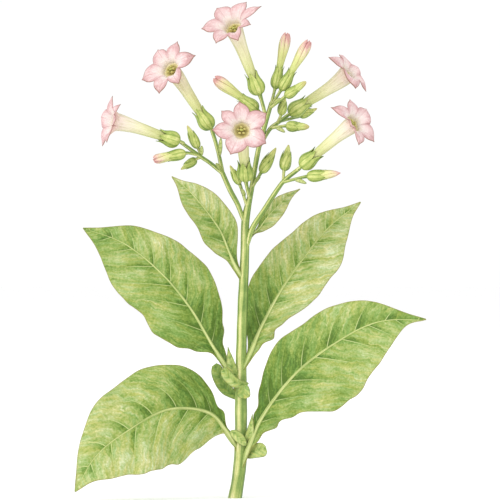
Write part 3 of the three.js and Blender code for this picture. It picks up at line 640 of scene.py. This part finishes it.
def bladePiece(name, leaf, cells, faces=(leafUpper, leafUnder)):
    # A leaf blade on its midrib, quilted between its side veins and ruffled at its margins.
    form = bladeForm
    midrib = throughPoints(leaf["midrib"])
    length = lengthOf(midrib)
    turn = 1 if math.cos(math.radians(sum(leaf["heading"]) / 2)) > 0 else -1
    wave, count = leaf["wave"]
    stations = leaf.get("stations", form["stations"])

    def veinCount(u, aside, half, veins, sweep, arch):
        # Whole numbers are on a side vein, the first at 1, and halves are midway between two.
        start = u - (sweep * aside + arch * aside ** 2 / np.maximum(half, 2)) / length
        feet = [veins[0] - (veins[1] - veins[0]) * 3, *veins, veins[-1] + (veins[-1] - veins[-2]) * 3]
        return np.interp(start, feet, [-2, *range(1, len(veins) + 1), len(veins) + 3])

    def place(u, v):
        v = (2 * v - 1) * turn
        reach = np.abs(v)
        centre, _ = alongCurve(midrib, u)
        heading = np.radians(leaf["heading"][0] + (leaf["heading"][1] - leaf["heading"][0]) * u)
        across = [-turn * np.sin(heading), leaf["lean"] + 0 * heading, turn * np.cos(heading)]
        half = np.where(v > 0, smoothly(stations, leaf["upper"], u), smoothly(stations, leaf["lower"], u))
        coarse, fine = (np.sin(length * u * beat + shift * np.sign(v))
                        for beat, shift in zip(form["lumpBeats"], (2.4, 1)))
        half = half * (1 + form["lump"] * (coarse + form["fineLump"] * fine) * eased(5, 15, half))  # if broad
        gathers = 0 * u
        for side, at, width, height, swing in leaf.get("ruffles", ()):
            near = np.exp(-((u - at) / width) ** 2) * (side * v > 0)
            beat = fullTurn * length * (u - at) / form["gather"]
            half = half + swing * near * np.sin(beat + 2)
            gathers = gathers + height * near * reach ** 2 * np.sin(beat + 1.5 * reach)
        offset = v * half
        aside = np.abs(offset)
        broad = np.minimum(1, half / 10)
        ruffle = wave * v * v * np.sin(fullTurn * count * u + 2 * v) * broad
        frill = form["frill"] * reach ** 4 * np.sin(fullTurn * count * form["frillBeat"] * u + 3 * v) * broad
        trough = form["trough"] * aside - form["droop"] * offset ** 2
        above, below = (veinCount(u, aside, half, leaf[veins], sweep, arch) for veins, sweep, arch in zip(
            ("upperVeins", "lowerVeins"), leaf["sweep"], leaf.get("arch", form["arch"])))
        phase = np.where(v > 0, above, below)
        swell = np.sin(np.abs(phase - np.round(phase)) * math.pi)
        quilt = form["quilt"] * swell * np.sin(math.pi * np.clip(reach, 0, 1)) ** 0.7
        quilt = quilt * eased(*form["quiltWidth"], half)
        spot = centre + np.stack(across, axis=-1) * offset[:, None]
        spot[:, 1] += ruffle + frill - trough - quilt + gathers
        side = eased(-0.15, 0.15, v)  # 0 on the lower half and 1 on the upper
        # painted light and shade together with the leaf's own tone, for each half along the leaf
        upper, lower = (np.interp(u, form["toneStations"], tone) for tone in leaf["tones"])
        # painted shade along the midrib, deeper on the upper half and near the foot
        paintedMidribShade = (form["paintedMidribShade"] + form["paintedUpperMidribShade"] * side) * (1 + 0.9 * eased(0.35, 0.1, u))
        shade = lower + (upper - lower) * side - paintedMidribShade * eased(0.6, 0, reach)
        # painted light on the swellings between side veins
        shade = shade + form["paintedSwellLight"] * (swell - 0.6) * eased(1, 0.4, reach)
        marks = {"veinPlace": (above, below, offset), "bladePlace": (shade, reach, half * (1 - reach))}
        return spot, marks

    blade = bentGrid(name, cells, place, "sheet")
    paint(blade, faces[0], faces[1], faces[0])
    thicken(blade, form["thickness"], offset=0, innerFace=1)
    return blade


ribForm = {
    "cells": (170, 18), "ribs": (3, 0.08), "paleFoot": -1.2,
    "way": [0, 0.05, 0.12, 0.22, 0.4, 0.6, 0.8, 1], "size": [0.25, 0.85, 0.88, 0.7, 0.5, 0.37, 0.24, 0.08],
}
for node, leaf in leafShape.items():
    blade = bladePiece(node + "_blade", leaf, leaf["cells"])
    rib = limbPiece(node + "_rib", throughPoints(leaf["midrib"]),
                    lambda t: smoothly(ribForm["way"], ribForm["size"], t) * leaf["rib"], ribForm["cells"],
                    ribForm["ribs"], paleFoot=ribForm["paleFoot"])
    settle(joined(node, blade, paint(rib, leafRib)), node)
print("leaves made")

# outlines of the small leaves: stations along the midrib and half widths as shares of the greatest
smallOutline = {
    "ear": ([0, 0.2, 0.5, 0.75, 0.9, 1], [0.45, 0.75, 0.95, 1, 0.86, 0.4]),
    "oval": ([0, 0.15, 0.4, 0.65, 0.88, 1], [0.3, 0.75, 1, 0.95, 0.6, 0.1]),
    "shoot": ([0, 0.2, 0.4, 0.6, 0.85, 1], [0.6, 0.95, 1, 0.78, 0.3, 0.03]),
}
# each one's outline, greatest half width, lean and tone, and three points of its midrib
smallLeafShape = {
    "lower_right_bract": ("ear", 5.6, 0.3, 0, [[8, -1.5, 33], [15, -5.5, 36], [24, -8, 38]]),
    "lower_right_shoot": ("shoot", 3.1, 0.2, 0, [[8, -2, 40], [11.5, -7.5, 50], [13.4, -9, 64.7]]),
    "lower_left_bract": ("oval", 3.8, -0.1, 0, [[-3.4, -6, 51.5], [1.5, -7.4, 48], [8.6, -7, 40.5]]),
    "middle_left_bract": ("ear", 5.2, 0.3, -0.24, [[3, 2, 76.5], [-7.4, 5, 84], [-16, 9, 102]]),
    "middle_left_fold": ("ear", 4.4, -0.2, -0.06, [[9.5, -5, 86.5], [0, -8.6, 88.6], [-10, -8, 98.5]]),
    "middle_left_lobe": ("ear", 5, 0, -0.06, [[7, -4.4, 87], [6.8, -7.6, 82], [6.6, -6.6, 76.5]]),
    "middle_left_shoot": ("shoot", 3.7, 0.2, -0.06, [[1.5, -2, 90], [-2.5, -4.5, 100], [-5.4, -6, 116]]),
}
# side veins along the midrib, and for a lobe too small for them, where none falls on it
smallVeins, noVeins = [0.15, 0.4, 0.65, 0.9], [-0.5, 1.5]


def smallLeafPiece(name, shape, cells=(60, 24), wave=(1.0, 1.6)):
    # A bract or young leaf: one outline for both halves.
    outline, half, lean, tone, midrib = shape
    foot, tip = midrib[0], midrib[-1]
    heading = math.degrees(math.atan2(tip[2] - foot[2], tip[0] - foot[0]))
    stations, widths = smallOutline[outline]
    veins = noVeins if name == "middle_left_lobe" else smallVeins
    halves = [w * half for w in widths]
    leaf = {
        "midrib": midrib, "heading": (heading, heading), "lean": lean, "wave": wave, "stations": stations,
        "upper": halves, "lower": halves, "upperVeins": veins, "lowerVeins": veins, "sweep": (0.9, 0.9),
        # painted light: the lower half a little lighter than the upper
        "tones": ([tone] * 5, [tone + 0.1] * 5),
    }
    return bladePiece(name, leaf, cells, (leafYoung, leafYoung))


for node, shape in smallLeafShape.items():
    settle(smallLeafPiece(node, shape), node)
print("small leaves made")

# narrow bracts where flower stalks leave: the limb or bud that each stands on, its foot and its tip
tinyBracts = [
    ("upper_left_stalk", (-11.6, -1.5, 262), (-10.8, -3.4, 276)),
    ("left_stalk", (-25.6, -17.6, 262), (-25.4, -21, 269.6)),
    ("left_stalk", (-11, -8, 251), (-14.5, -11.5, 256.5)),
    ("twig_bud", (28.8, 0.4, 300.6), (34.6, -2.6, 306.4)),
    ("middle_right_bud", (31, 3, 284), (38.4, -3.6, 280.2)),
    ("right_pink_bud", (45.6, -25.6, 243.6), (54.6, -30.6, 240.8)),
    ("front_right_bud", (14.4, -1, 241), (19.4, -5, 246.6)),
    ("front_left_bud", (7.6, -2.2, 231), (4.4, -6.2, 237.4)),
]
for k, (node, foot, tip) in enumerate(tinyBracts):
    middle = (np.array(foot, float) + np.array(tip, float)) / 2 + np.array([0, -0.7, 0.4])
    bract = smallLeafPiece(f"{node}_bract{k}", ("oval", 1.5, 0.5, 0.2, [foot, middle, tip]), (24, 10), (0, 1))
    settle(bract, node)
print("bracts made")


# Flowers

# facing is the limb's turn in the front plane and its lean towards the front, in degrees; each lobe has the
# angle and reach of its tip, and how far it curls back in radians
flowerShape = {
    "top": {
        "foot": [23.6, 2, 292], "base": [19.1, -4, 308.7], "throat": [-1.1, -14, 359.3],
        "facing": (115, 47), "bowl": 10,
        "lobes": [(30, 26.4, -0.12), (65, 20.8, 0), (137, 19.8, 0), (198, 23, 0), (254, 22.8, 0),
                  (300, 22, 0), (350, 17.5, 0)],
    },
    "upper_left": {
        "foot": [-17, 12.6, 279.6], "base": [-18, 15, 282.7], "throat": [-49.4, 20, 328.6],
        "facing": (140, 50), "bowl": 8,
        "lobes": [(25, 24.4, 0.2), (79, 21.3, 0), (131, 19, 0), (210, 22.8, 0), (269, 23.5, 0),
                  (315, 20.4, 0.1)],
    },
    "left": {
        "foot": [-39.6, -24.8, 271], "base": [-42.1, -26, 272.7], "throat": [-89.4, -45, 287.2],
        "facing": (170, 23), "bowl": 7.5,
        "lobes": [(10, 12, -0.1), (62, 15.6, 0.42), (100, 19.4, 0), (169, 18.8, 0), (243, 21.4, 0),
                  (290, 18.5, -0.25)],
    },
    "front": {
        "foot": [11.5, 0, 229], "base": [8.4, -10, 242.8], "throat": [5, -34, 281.1],
        "facing": (95, 80), "bowl": 9,
        "lobes": [(32, 22.5, 0), (94, 21.5, 0.1), (137, 21, 0.2), (183, 22.2, 0), (248, 21.6, 0),
                  (329, 22, 0.1)],
    },
    "upper_right": {
        "foot": [39.6, 18.6, 292.6], "base": [41.4, 20, 294.1], "throat": [85.8, 26, 324.8],
        "facing": (45, 20), "bowl": 7,
        "lobes": [(8, 13.8, 0), (67, 20.3, 0.2), (109, 20, 0.38), (243, 18.5, 0.35), (284, 20, 0.25)],
    },
    "lower_right": {
        "foot": [47.8, -25.6, 251], "base": [50.2, -27, 253.2], "throat": [89.6, -46, 285.7],
        "facing": (35, 38), "bowl": 6.5,
        "lobes": [(34, 19.4, 0), (87, 18.4, 0), (144, 23.2, 0.2), (206, 12.5, -0.35), (250, 21.6, 0),
                  (301, 20.5, 0)],
    },
}
corollaForm = {
    "rows": 72, "columns": 24, "tubeShare": 0.6, "thickness": 0.35,
    # where the tube starts in its calyx, how far it keeps its first and last heading, and its radius along it
    "seatAt": 9.3, "startPull": 0.3, "endPull": 0.22, "pleat": 0.04,
    "tube": [(0, 2.7), (0.15, 3.5), (0.35, 4.1), (0.6, 4.7), (0.78, 5.6), (0.9, 6.3), (1, 6.8)],
    # the limb from mouth to margin: share of the reach, and share of the bowl's height
    "spread": [(0, 0), (0.12, 0.07), (0.28, 0.21), (0.5, 0.45), (0.75, 0.73), (1, 1)],
    "rise": [(0, 0), (0.12, 0.24), (0.28, 0.5), (0.5, 0.78), (0.75, 0.95), (1, 1)],
    # a lobe from its middle to its notch, and how it is creased, rolled back and waved, in millimetres
    "lobe": [(0, 1), (0.05, 0.89), (0.14, 0.78), (0.3, 0.67), (0.5, 0.54), (0.72, 0.35), (0.88, 0.16),
             (1, 0)],
    "notch": 0.67, "crease": 1.9, "recurve": 2.2, "wave": 0.5,
}
calyxForm = {
    "profile": [(0, 1.2), (0.8, 3.2), (2, 4.7), (4.5, 6.2), (7, 6.6), (10, 6.1), (13, 5.2), (16, 4.8),
                (19, 5.1)],
    "sinus": 12.6, "tooth": 6.6, "thickness": 0.4, "rib": 0.16, "cells": (40, 80), "turn": 0, "twist": 0,
    "stalk": 1.4, "stalkRun": 4, "stalkEnd": 0.8, "stalkSwell": 0.3,
}
cupUp = (0, -1, 0.2)  # the side from which a calyx and a furled corolla are turned


def cupPieces(name, foot, base, axis, form):
    # A ribbed calyx with five teeth on a straight axis, and the stalk that swells a little into it. The
    # profile is its radius at heights above the base, and sinus and tooth are how high notches and teeth are.
    heights, radii = zip(*form["profile"])
    sinus, tooth = form["sinus"], form["tooth"]
    first, second = crossAxes(axis, cupUp)

    def place(u, v):
        fifth = 5 * v + form["turn"]
        aside = np.abs(fifth - np.round(fifth)) * 2
        height = u * (sinus + tooth * (1 - aside) ** 0.7)
        angle = fullTurn * v + form["twist"] * eased(0.3 * sinus, sinus + tooth, height)
        ribs = np.cos(fullTurn * fifth) + 0.5 * np.cos(2 * fullTurn * fifth)
        radius = smoothly(heights, radii, height) + form["rib"] * eased(0, 2, height) * ribs
        out = around(first, second, angle)
        marks = {
            "toothPlace": (aside, height / (sinus + tooth), u),
            "girthPlace": girthAt(radius, angle, height),
            # painted light: lighter where the cup faces front or back, painted shade where it faces aside
            "facePlace": (out[:, 1] ** 2 - 0.5, 0 * u, 0 * u),
        }
        return base + axis * height[:, None] + out * radius[:, None], marks

    def stalkRadius(t):
        return form["stalk"] * (1 + 0.12 * eased(0.3, 0, t) + form["stalkSwell"] * eased(0.75, 1, t))

    cup = bentGrid(name + "_cup", form["cells"], place, "cup")
    thicken(cup, form["thickness"])
    spots = bezier(foot, base - axis * form["stalkRun"], base + axis * form["stalkEnd"])
    stalk = limbPiece(name + "_stalk", spots, stalkRadius, (30, 16))
    return paint(cup, calyxGreen), paint(stalk, stemGreen)


def flowerFrame(flower):
    # A flower's base and heading, its tube's middle line, and its mouth: middle, facing and two ways across.
    turn, lean = (math.radians(a) for a in flower["facing"])
    end, start = np.array(flower["throat"], float), np.array(flower["base"], float)
    normal = np.array([math.cos(lean) * math.cos(turn), -math.sin(lean), math.cos(lean) * math.sin(turn)])
    length = np.linalg.norm(end - start)
    chord = (end - start) / length
    seat = start + chord * corollaForm["seatAt"]
    spine = bezier(seat, seat + chord * length * corollaForm["startPull"],
                   end - normal * length * corollaForm["endPull"], end)
    return start, chord, spine, (end, normal, *crossAxes(normal, (0, 0, 1)))


def corollaPiece(name, flower):
    # The trumpet: a flared tube, and a limb of pointed lobes with a crease between each two.
    form = corollaForm
    _, _, spine, (*_, second) = flowerFrame(flower)
    angles, reaches, curls = np.array(flower["lobes"], float).T
    nextGap = (np.roll(angles, -1) - angles) % 360 / 2
    nextNotch = np.minimum(reaches, np.roll(reaches, -1)) * form["notch"]
    lastGap, lastNotch = np.roll(nextGap, 1), np.roll(nextNotch, 1)
    ways = {key: tuple(zip(*form[key])) for key in ("tube", "spread", "rise", "lobe")}

    def place(u, v):
        lobeAt = v * len(angles)
        lobe = np.minimum(lobeAt.astype(int), len(angles) - 1)
        across = np.clip((lobeAt - lobe) * 2 - 1, -1, 1)
        aside = np.abs(across)
        gap = np.where(across > 0, nextGap[lobe], lastGap[lobe])
        notch = np.where(across > 0, nextNotch[lobe], lastNotch[lobe])
        angle = np.radians(angles[lobe] + across * gap)
        edge = notch + (reaches[lobe] - notch) * smoothly(*ways["lobe"], aside)
        tubeAt = np.clip(u / form["tubeShare"], 0, 1)
        out = np.clip((u - form["tubeShare"]) / (1 - form["tubeShare"]), 0, 1)
        centre, tangent = alongCurve(spine, tubeAt)
        side, top = crossAxes(tangent, second)
        tube = smoothly(*ways["tube"], tubeAt)
        pleats = 1 + form["pleat"] * eased(0.45, 1, tubeAt) * np.cos(math.pi * across)
        radius = tube * pleats + (edge - form["tube"][-1][1]) * smoothly(*ways["spread"], out)
        lift = flower["bowl"] * smoothly(*ways["rise"], out)
        lift = lift - form["crease"] * aside ** 1.6 * out ** 0.7 * (1 - 0.35 * out)  # sinks to each notch
        lift = lift - form["recurve"] * eased(0.62, 1.05, out * (1 - 0.25 * aside)) ** 1.5  # rolls back
        lift = lift + form["wave"] * out * np.sin(5 * angle + reaches[lobe]) * np.cos(2.2 * across)
        bend = curls[lobe] * (1 - across ** 2) ** 0.5 * eased(0.1, 1, out)  # the whole lobe curls
        beyond = radius - tube
        lift = lift - beyond * np.sin(bend)
        radius = radius - beyond * (1 - np.cos(bend))
        facing = around(side, top, angle)
        marks = {
            "petalPlace": (across, u, out),
            "girthPlace": girthAt(6 + 9 * out, angle, 60 * u),
            # painted light on the tube's front and back, painted shade where it faces aside
            "facePlace": ((facing[:, 1] ** 2 - 0.5) * eased(0.25, 0, out), 0 * u, 0 * u),
        }
        return centre + tangent * lift[:, None] + facing * radius[:, None], marks

    corolla = bentGrid(name, (form["rows"], form["columns"] * len(angles)), place, "cup")
    paint(corolla, petalOutside, petalInside, petalInside)
    thicken(corolla, form["thickness"], innerFace=1, rimFace=1)
    return corolla


# what stands in the throat, in millimetres: how deep its foot is, how uneven and how far aside anthers are,
# the radii of filament and style, the height and radius of anther and stigma; and the throat's floor
stamenForm = {
    "foot": 14, "uneven": 0.7, "aside": 2.6, "filament": 0.4, "anther": (2.6, 1.05), "style": 0.5,
    "stigma": (1.9, 1.3), "pit": 1.7, "throat": 6.6, "thickness": 0.3,
}


def throatPiece(name, flower):
    # The hairy olive folds that close the throat round the stamens, cream where they meet the limb.
    form = stamenForm
    end, normal, first, second = flowerFrame(flower)[-1]

    def place(u, v):
        angle = fullTurn * v
        reach = form["throat"] * u * (1 + 0.03 * np.cos(5 * angle))
        depth = form["pit"] + 0.7 * np.sin(math.pi * u) + 0.25 * np.cos(10 * angle) * u * (1 - u)
        marks = {
            "petalPlace": (0.4 + 0 * u, 0.02 + 0.5 * u ** 2.2, 0 * u),
            "girthPlace": girthAt(2 * reach, angle, 4 * u),
        }
        return end - normal * depth[:, None] + around(first, second, angle) * reach[:, None], marks

    throat = bentGrid(name, (14, 60), place, "cup")
    thicken(throat, form["thickness"])
    return paint(throat, petalInside)


def stamensPiece(name, flower):
    # Five stamens and a pistil that stand up in the throat.
    form = stamenForm
    end, normal, first, second = flowerFrame(flower)[-1]
    foot = end - normal * form["foot"]
    parts = []

    def stand(part, foot, elbow, top, stalk, head, finish):
        # one stalk with a head of two lobes on it
        tall, wide = head
        rod = limbPiece(part + "Stalk", bezier(foot, elbow, top), lambda t: stalk + 0 * t, (14, 8), (0, 0))
        knob = limbPiece(part + "Head", bezier(top - normal * tall / 2, top, top + normal * tall / 2),
                         lambda t: wide * np.sin(math.pi * (0.08 + 0.84 * t)) ** 0.6, (14, 20), (2, 0.2))
        parts.extend([paint(rod, filamentCream), paint(knob, finish)])

    for k in range(5):
        angle = fullTurn * (k + 0.3) / 5
        out = first * math.cos(angle) + second * math.sin(angle)
        top = end + out * form["aside"] + normal * form["uneven"] * math.sin(3 * k)
        stand(f"stamen{k}", foot + out * 1.6, foot + out * 2.6 + normal * 7, top, form["filament"],
              form["anther"], antherOlive)
    stand("pistil", foot, foot + normal * 7, end + second * 0.4, form["style"], form["stigma"], stigmaGreen)
    return joined(name, *parts)


for name, flower in flowerShape.items():
    for makePart, part in ((corollaPiece, "_corolla_flower"), (throatPiece, "_throat"),
                           (stamensPiece, "_stamens")):
        settle(makePart(name + part, flower), name + "_corolla")
    start, chord, *_ = flowerFrame(flower)
    calyx = joined(name + "_calyx_cup", *cupPieces(name, flower["foot"], start, chord, calyxForm))
    settle(calyx, name + "_calyx")
print("flowers made")


# Buds

# each bud's kind and greatest width, the foot of its stalk, the base of its calyx, and its tip
budShape = {
    "tall_bud": ("club", 9.4, [27.4, 2, 301], [30.6, 3, 313.3], [39.8, 8, 356.6]),
    "leaning_bud": ("club", 9.6, [27.6, 2, 301], [35, -1, 312], [56.7, -10, 350.1]),
    "long_left_bud": ("club", 10.8, [22.9, 2, 286], [17.6, 9, 297.2], [-15.8, 18, 322.4]),
    "left_pink_bud": ("oblong", 9, [-27, -17.6, 262], [-37.5, -26, 264], [-62, -36, 258.9]),
    "right_pink_bud": ("pointed", 9.4, [36.5, -18.6, 241.6], [54.8, -30, 246], [80.4, -40, 248.6]),
    "twig_bud": ("cone", 8, [26.6, 2, 298.6], [38.3, -6, 307.2], [54.4, -10, 318.7]),
    "high_right_bud": ("closed", 7.4, [32.2, 11.6, 287], [35.2, 8, 293.4], [38.3, 5, 307.9]),
    "back_right_bud": ("closed", 6.6, [34.5, 14, 288.8], [49.5, 33, 293], [63.2, 38, 299.1]),
    "middle_right_bud": ("cone", 8.6, [27.6, 6.6, 283.4], [39.1, -1, 285], [56.7, -8, 284.2]),
    "left_upright_bud": ("closed", 7.6, [-26, -17, 261.2], [-28, -17, 267.6], [-36.4, -19, 285]),
    "left_drooping_bud": ("closed", 6.9, [-25.4, -16.6, 260.8], [-29.5, -12, 259.6], [-41.4, -8, 251.6]),
    "front_left_bud": ("closed", 6.4, [9.6, 0, 222], [3.8, -5, 240.1], [-3.8, -9, 254.7]),
    "front_right_bud": ("closed", 8.8, [13, 0.5, 237.6], [19.9, -6, 249], [31.4, -12, 268.1]),
    "right_upright_bud": ("closed", 9.2, [37, -18.8, 242.2], [37.5, -17, 250.5], [41, -14, 270.4]),
}
# for each kind: the furled corolla and the calyx as shares of the length and of the greatest radius, where
# the calyx splits and how long its teeth are, how they twist, and how far the corolla's tips part
halfOpenCup = {
    "cup": [(0, 0.25), (0.05, 0.65), (0.14, 0.92), (0.26, 1), (0.38, 0.94), (0.5, 0.8), (0.6, 0.78)],
    "split": 0.4, "tooth": 0.18, "twist": 0.2,
}
budForm = {
    "club": {
        "petal": [(0.02, 0.3), (0.15, 0.7), (0.3, 0.56), (0.42, 0.57), (0.55, 0.68), (0.7, 0.86), (0.8, 0.93),
                  (0.9, 0.84), (0.97, 0.6), (1, 0.4)],
        "cup": [(0, 0.25), (0.03, 0.6), (0.08, 0.9), (0.15, 1), (0.22, 0.92), (0.3, 0.74), (0.36, 0.68),
                (0.44, 0.78)],
        "split": 0.27, "tooth": 0.15, "parting": 0.05, "finish": budPetal,
    },
    "oblong": {
        "petal": [(0.02, 0.3), (0.3, 0.8), (0.5, 0.78), (0.66, 0.84), (0.8, 0.9), (0.9, 0.82), (0.97, 0.6),
                  (1, 0.42)],
        "cup": [(0, 0.25), (0.05, 0.65), (0.14, 0.92), (0.26, 1), (0.38, 0.94), (0.5, 0.84), (0.6, 0.86)],
        "split": 0.42, "tooth": 0.16, "parting": 0.06, "finish": budPetal,
    },
    "cone": {
        "petal": [(0.02, 0.3), (0.3, 0.78), (0.48, 0.74), (0.62, 0.72), (0.76, 0.64), (0.88, 0.5),
                  (0.96, 0.32), (1, 0.16)],
        "finish": budGreen, **halfOpenCup,
    },
    "pointed": {
        "petal": [(0.02, 0.3), (0.3, 0.78), (0.48, 0.74), (0.62, 0.73), (0.76, 0.62), (0.88, 0.4),
                  (0.95, 0.2), (1, 0.06)],
        "finish": budPetal, **halfOpenCup,
    },
    "closed": {
        "petal": [(0.02, 0.3), (0.3, 0.8), (0.5, 0.74), (0.7, 0.58), (0.86, 0.38), (0.95, 0.22), (1, 0.1)],
        "cup": [(0, 0.25), (0.05, 0.6), (0.15, 0.88), (0.32, 1), (0.5, 0.93), (0.66, 0.76), (0.8, 0.56),
                (1, 0.3)],
        "split": 0.44, "tooth": 0.32, "twist": 0.5, "finish": budGreen,
    },
}
# how far furled lobes wind round each other, how deep their grooves are low and high up, how much of the grid
# is the pit at the tip, and where a band of stronger painted crease shade goes round
furledForm = {"wind": 1.1, "groove": 0.05, "highGroove": 0.36, "pit": 0.06, "bandAt": 0.56, "band": 0.5}


def furledPiece(name, base, axis, length, radius, form):
    # A furled corolla: lobes folded lengthwise and twisted round each other, their tips a little apart.
    way, size = zip(*form["petal"])
    pit, end = furledForm["pit"], limbForm["end"]
    first, second = crossAxes(axis, cupUp)

    def place(u, v):
        at = np.clip((u - end) / (1 - end - pit), 0, 1)
        dip = np.clip((u - 1 + pit) / pit, 0, 1)
        angle = fullTurn * v
        wound = angle + furledForm["wind"] * at
        fold = np.sin(2.5 * wound)
        groove = (1 - np.abs(fold)) ** 1.5
        up = way[0] + (1 - way[0]) * at
        depth = furledForm["groove"] + furledForm["highGroove"] * eased(0.55, 0.92, at)
        girth = smoothly(way, size, up) * radius * (1 - depth * groove)
        girth = np.where(u < limbForm["pole"], 0, girth * (1 - dip))
        out = around(first, second, angle)
        height = length * (up - form.get("parting", 0) * (groove * eased(0.9, 1, at) + dip))
        band = furledForm["band"] * np.exp(-((at - furledForm["bandAt"]) / 0.05) ** 2)
        marks = {
            # the grooves get painted crease shade through the first of these marks
            "petalPlace": (fold * 0.75, at, eased(0.5, 0.85, at) * 0.9 + band),
            # painted light on the bud's front and back, painted shade where it faces aside, all but at its
            # tip
            "facePlace": ((out[:, 1] ** 2 - 0.5) * eased(1, 0.7, at), 0 * u, 0 * u),
            "girthPlace": girthAt(radius, wound, height),
        }
        return base + axis * height[:, None] + out * girth[:, None], marks

    return bentGrid(name, (84, 60) if length > 40 else (56, 50), place)


for name, (kind, width, foot, base, tip) in budShape.items():
    base, tip = np.array(base, float), np.array(tip, float)
    radius, form = width / 2, budForm[kind]
    length = np.linalg.norm(tip - base)
    axis = (tip - base) / length
    petal = paint(furledPiece(name + "_petal", base, axis, length, radius, form), form["finish"])
    cup = {
        "profile": [(h * length, r * radius) for h, r in form["cup"]], "sinus": form["split"] * length,
        "tooth": form["tooth"] * length, "thickness": 0.3, "rib": 0.03 * radius, "cells": (36, 60),
        "turn": 0.25, "twist": form.get("twist", 0),
        "stalk": 1.15, "stalkRun": 0.12 * length, "stalkEnd": 0.6, "stalkSwell": 0.2,
    }
    settle(joined(name + "_furled", petal, *cupPieces(name, foot, base, axis, cup)), name)
print("buds made")


# Floor, light and camera

def floorPiece():
    # A wide floor of matt white paper with a faint grain of 2 mm.
    material, add, spot = newMaterial("whitePaper", 0.9)
    grain = add("TexNoise", {"Vector": spot, "Scale": 500.0})
    colour = add("ValToRGB", {0: grain}, stops=[(0.3, "#fafafa"), (0.7, "#ffffff")])
    bpy.ops.object.select_all(action="DESELECT")
    bpy.ops.mesh.primitive_circle_add(vertices=64, radius=400, fill_type="NGON")
    floor = bpy.context.object
    floor.name = "floor"
    paint(floor, finishMaterial(material, colour, grain, 0.05, 0.1))


floorPiece()

studioLight = {
    "surround": 1.02,
    # where each lamp hangs in metres, the side of its square, and its watts
    "key": ((-6.8, -6.8, 5.3), 6.0, 480), "fill": ((6.5, -8.0, 3.0), 6.0, 120),
    "back": ((1.6, 9.0, 5.3), 5.0, 120),
}
world = bpy.data.worlds.new("studio")
bpy.context.scene.world = world
world.use_nodes = True
surround = world.node_tree.nodes["Background"]
surround.inputs["Color"].default_value = (1, 1, 1, 1)
surround.inputs["Strength"].default_value = studioLight["surround"]
middle = np.array([c / 2 for c in (cadBounds[0] + cadBounds[1])])
for name in ("key", "fill", "back"):
    place, size, power = studioLight[name]
    bpy.ops.object.select_all(action="DESELECT")
    bpy.ops.object.light_add(type="AREA", location=place)
    lamp = bpy.context.object
    lamp.name = name
    lamp.data.size = size
    lamp.data.energy = power
    way = middle - np.array(place)  # turned towards the middle of the plant
    lamp.rotation_euler = (math.acos(-way[2] / np.linalg.norm(way)), 0, math.atan2(way[0], -way[1]) + math.pi)

# how far off the camera is, and how much it sees across at the plant, in metres
lens = {"distance": 6.0, "view": 0.383, "sensor": 36.0, "aim": (0.0115, 0.0, 0.19)}
place = (lens["aim"][0], -lens["distance"], lens["aim"][2])
bpy.ops.object.camera_add(location=place, rotation=(math.pi / 2, 0, 0))
camera = bpy.context.object
camera.data.sensor_width = lens["sensor"]
camera.data.lens = lens["sensor"] * lens["distance"] / lens["view"]
camera.data.clip_end = 40
bpy.context.scene.camera = camera
bpy.context.scene.view_settings.view_transform = "Standard"
print("stage made")
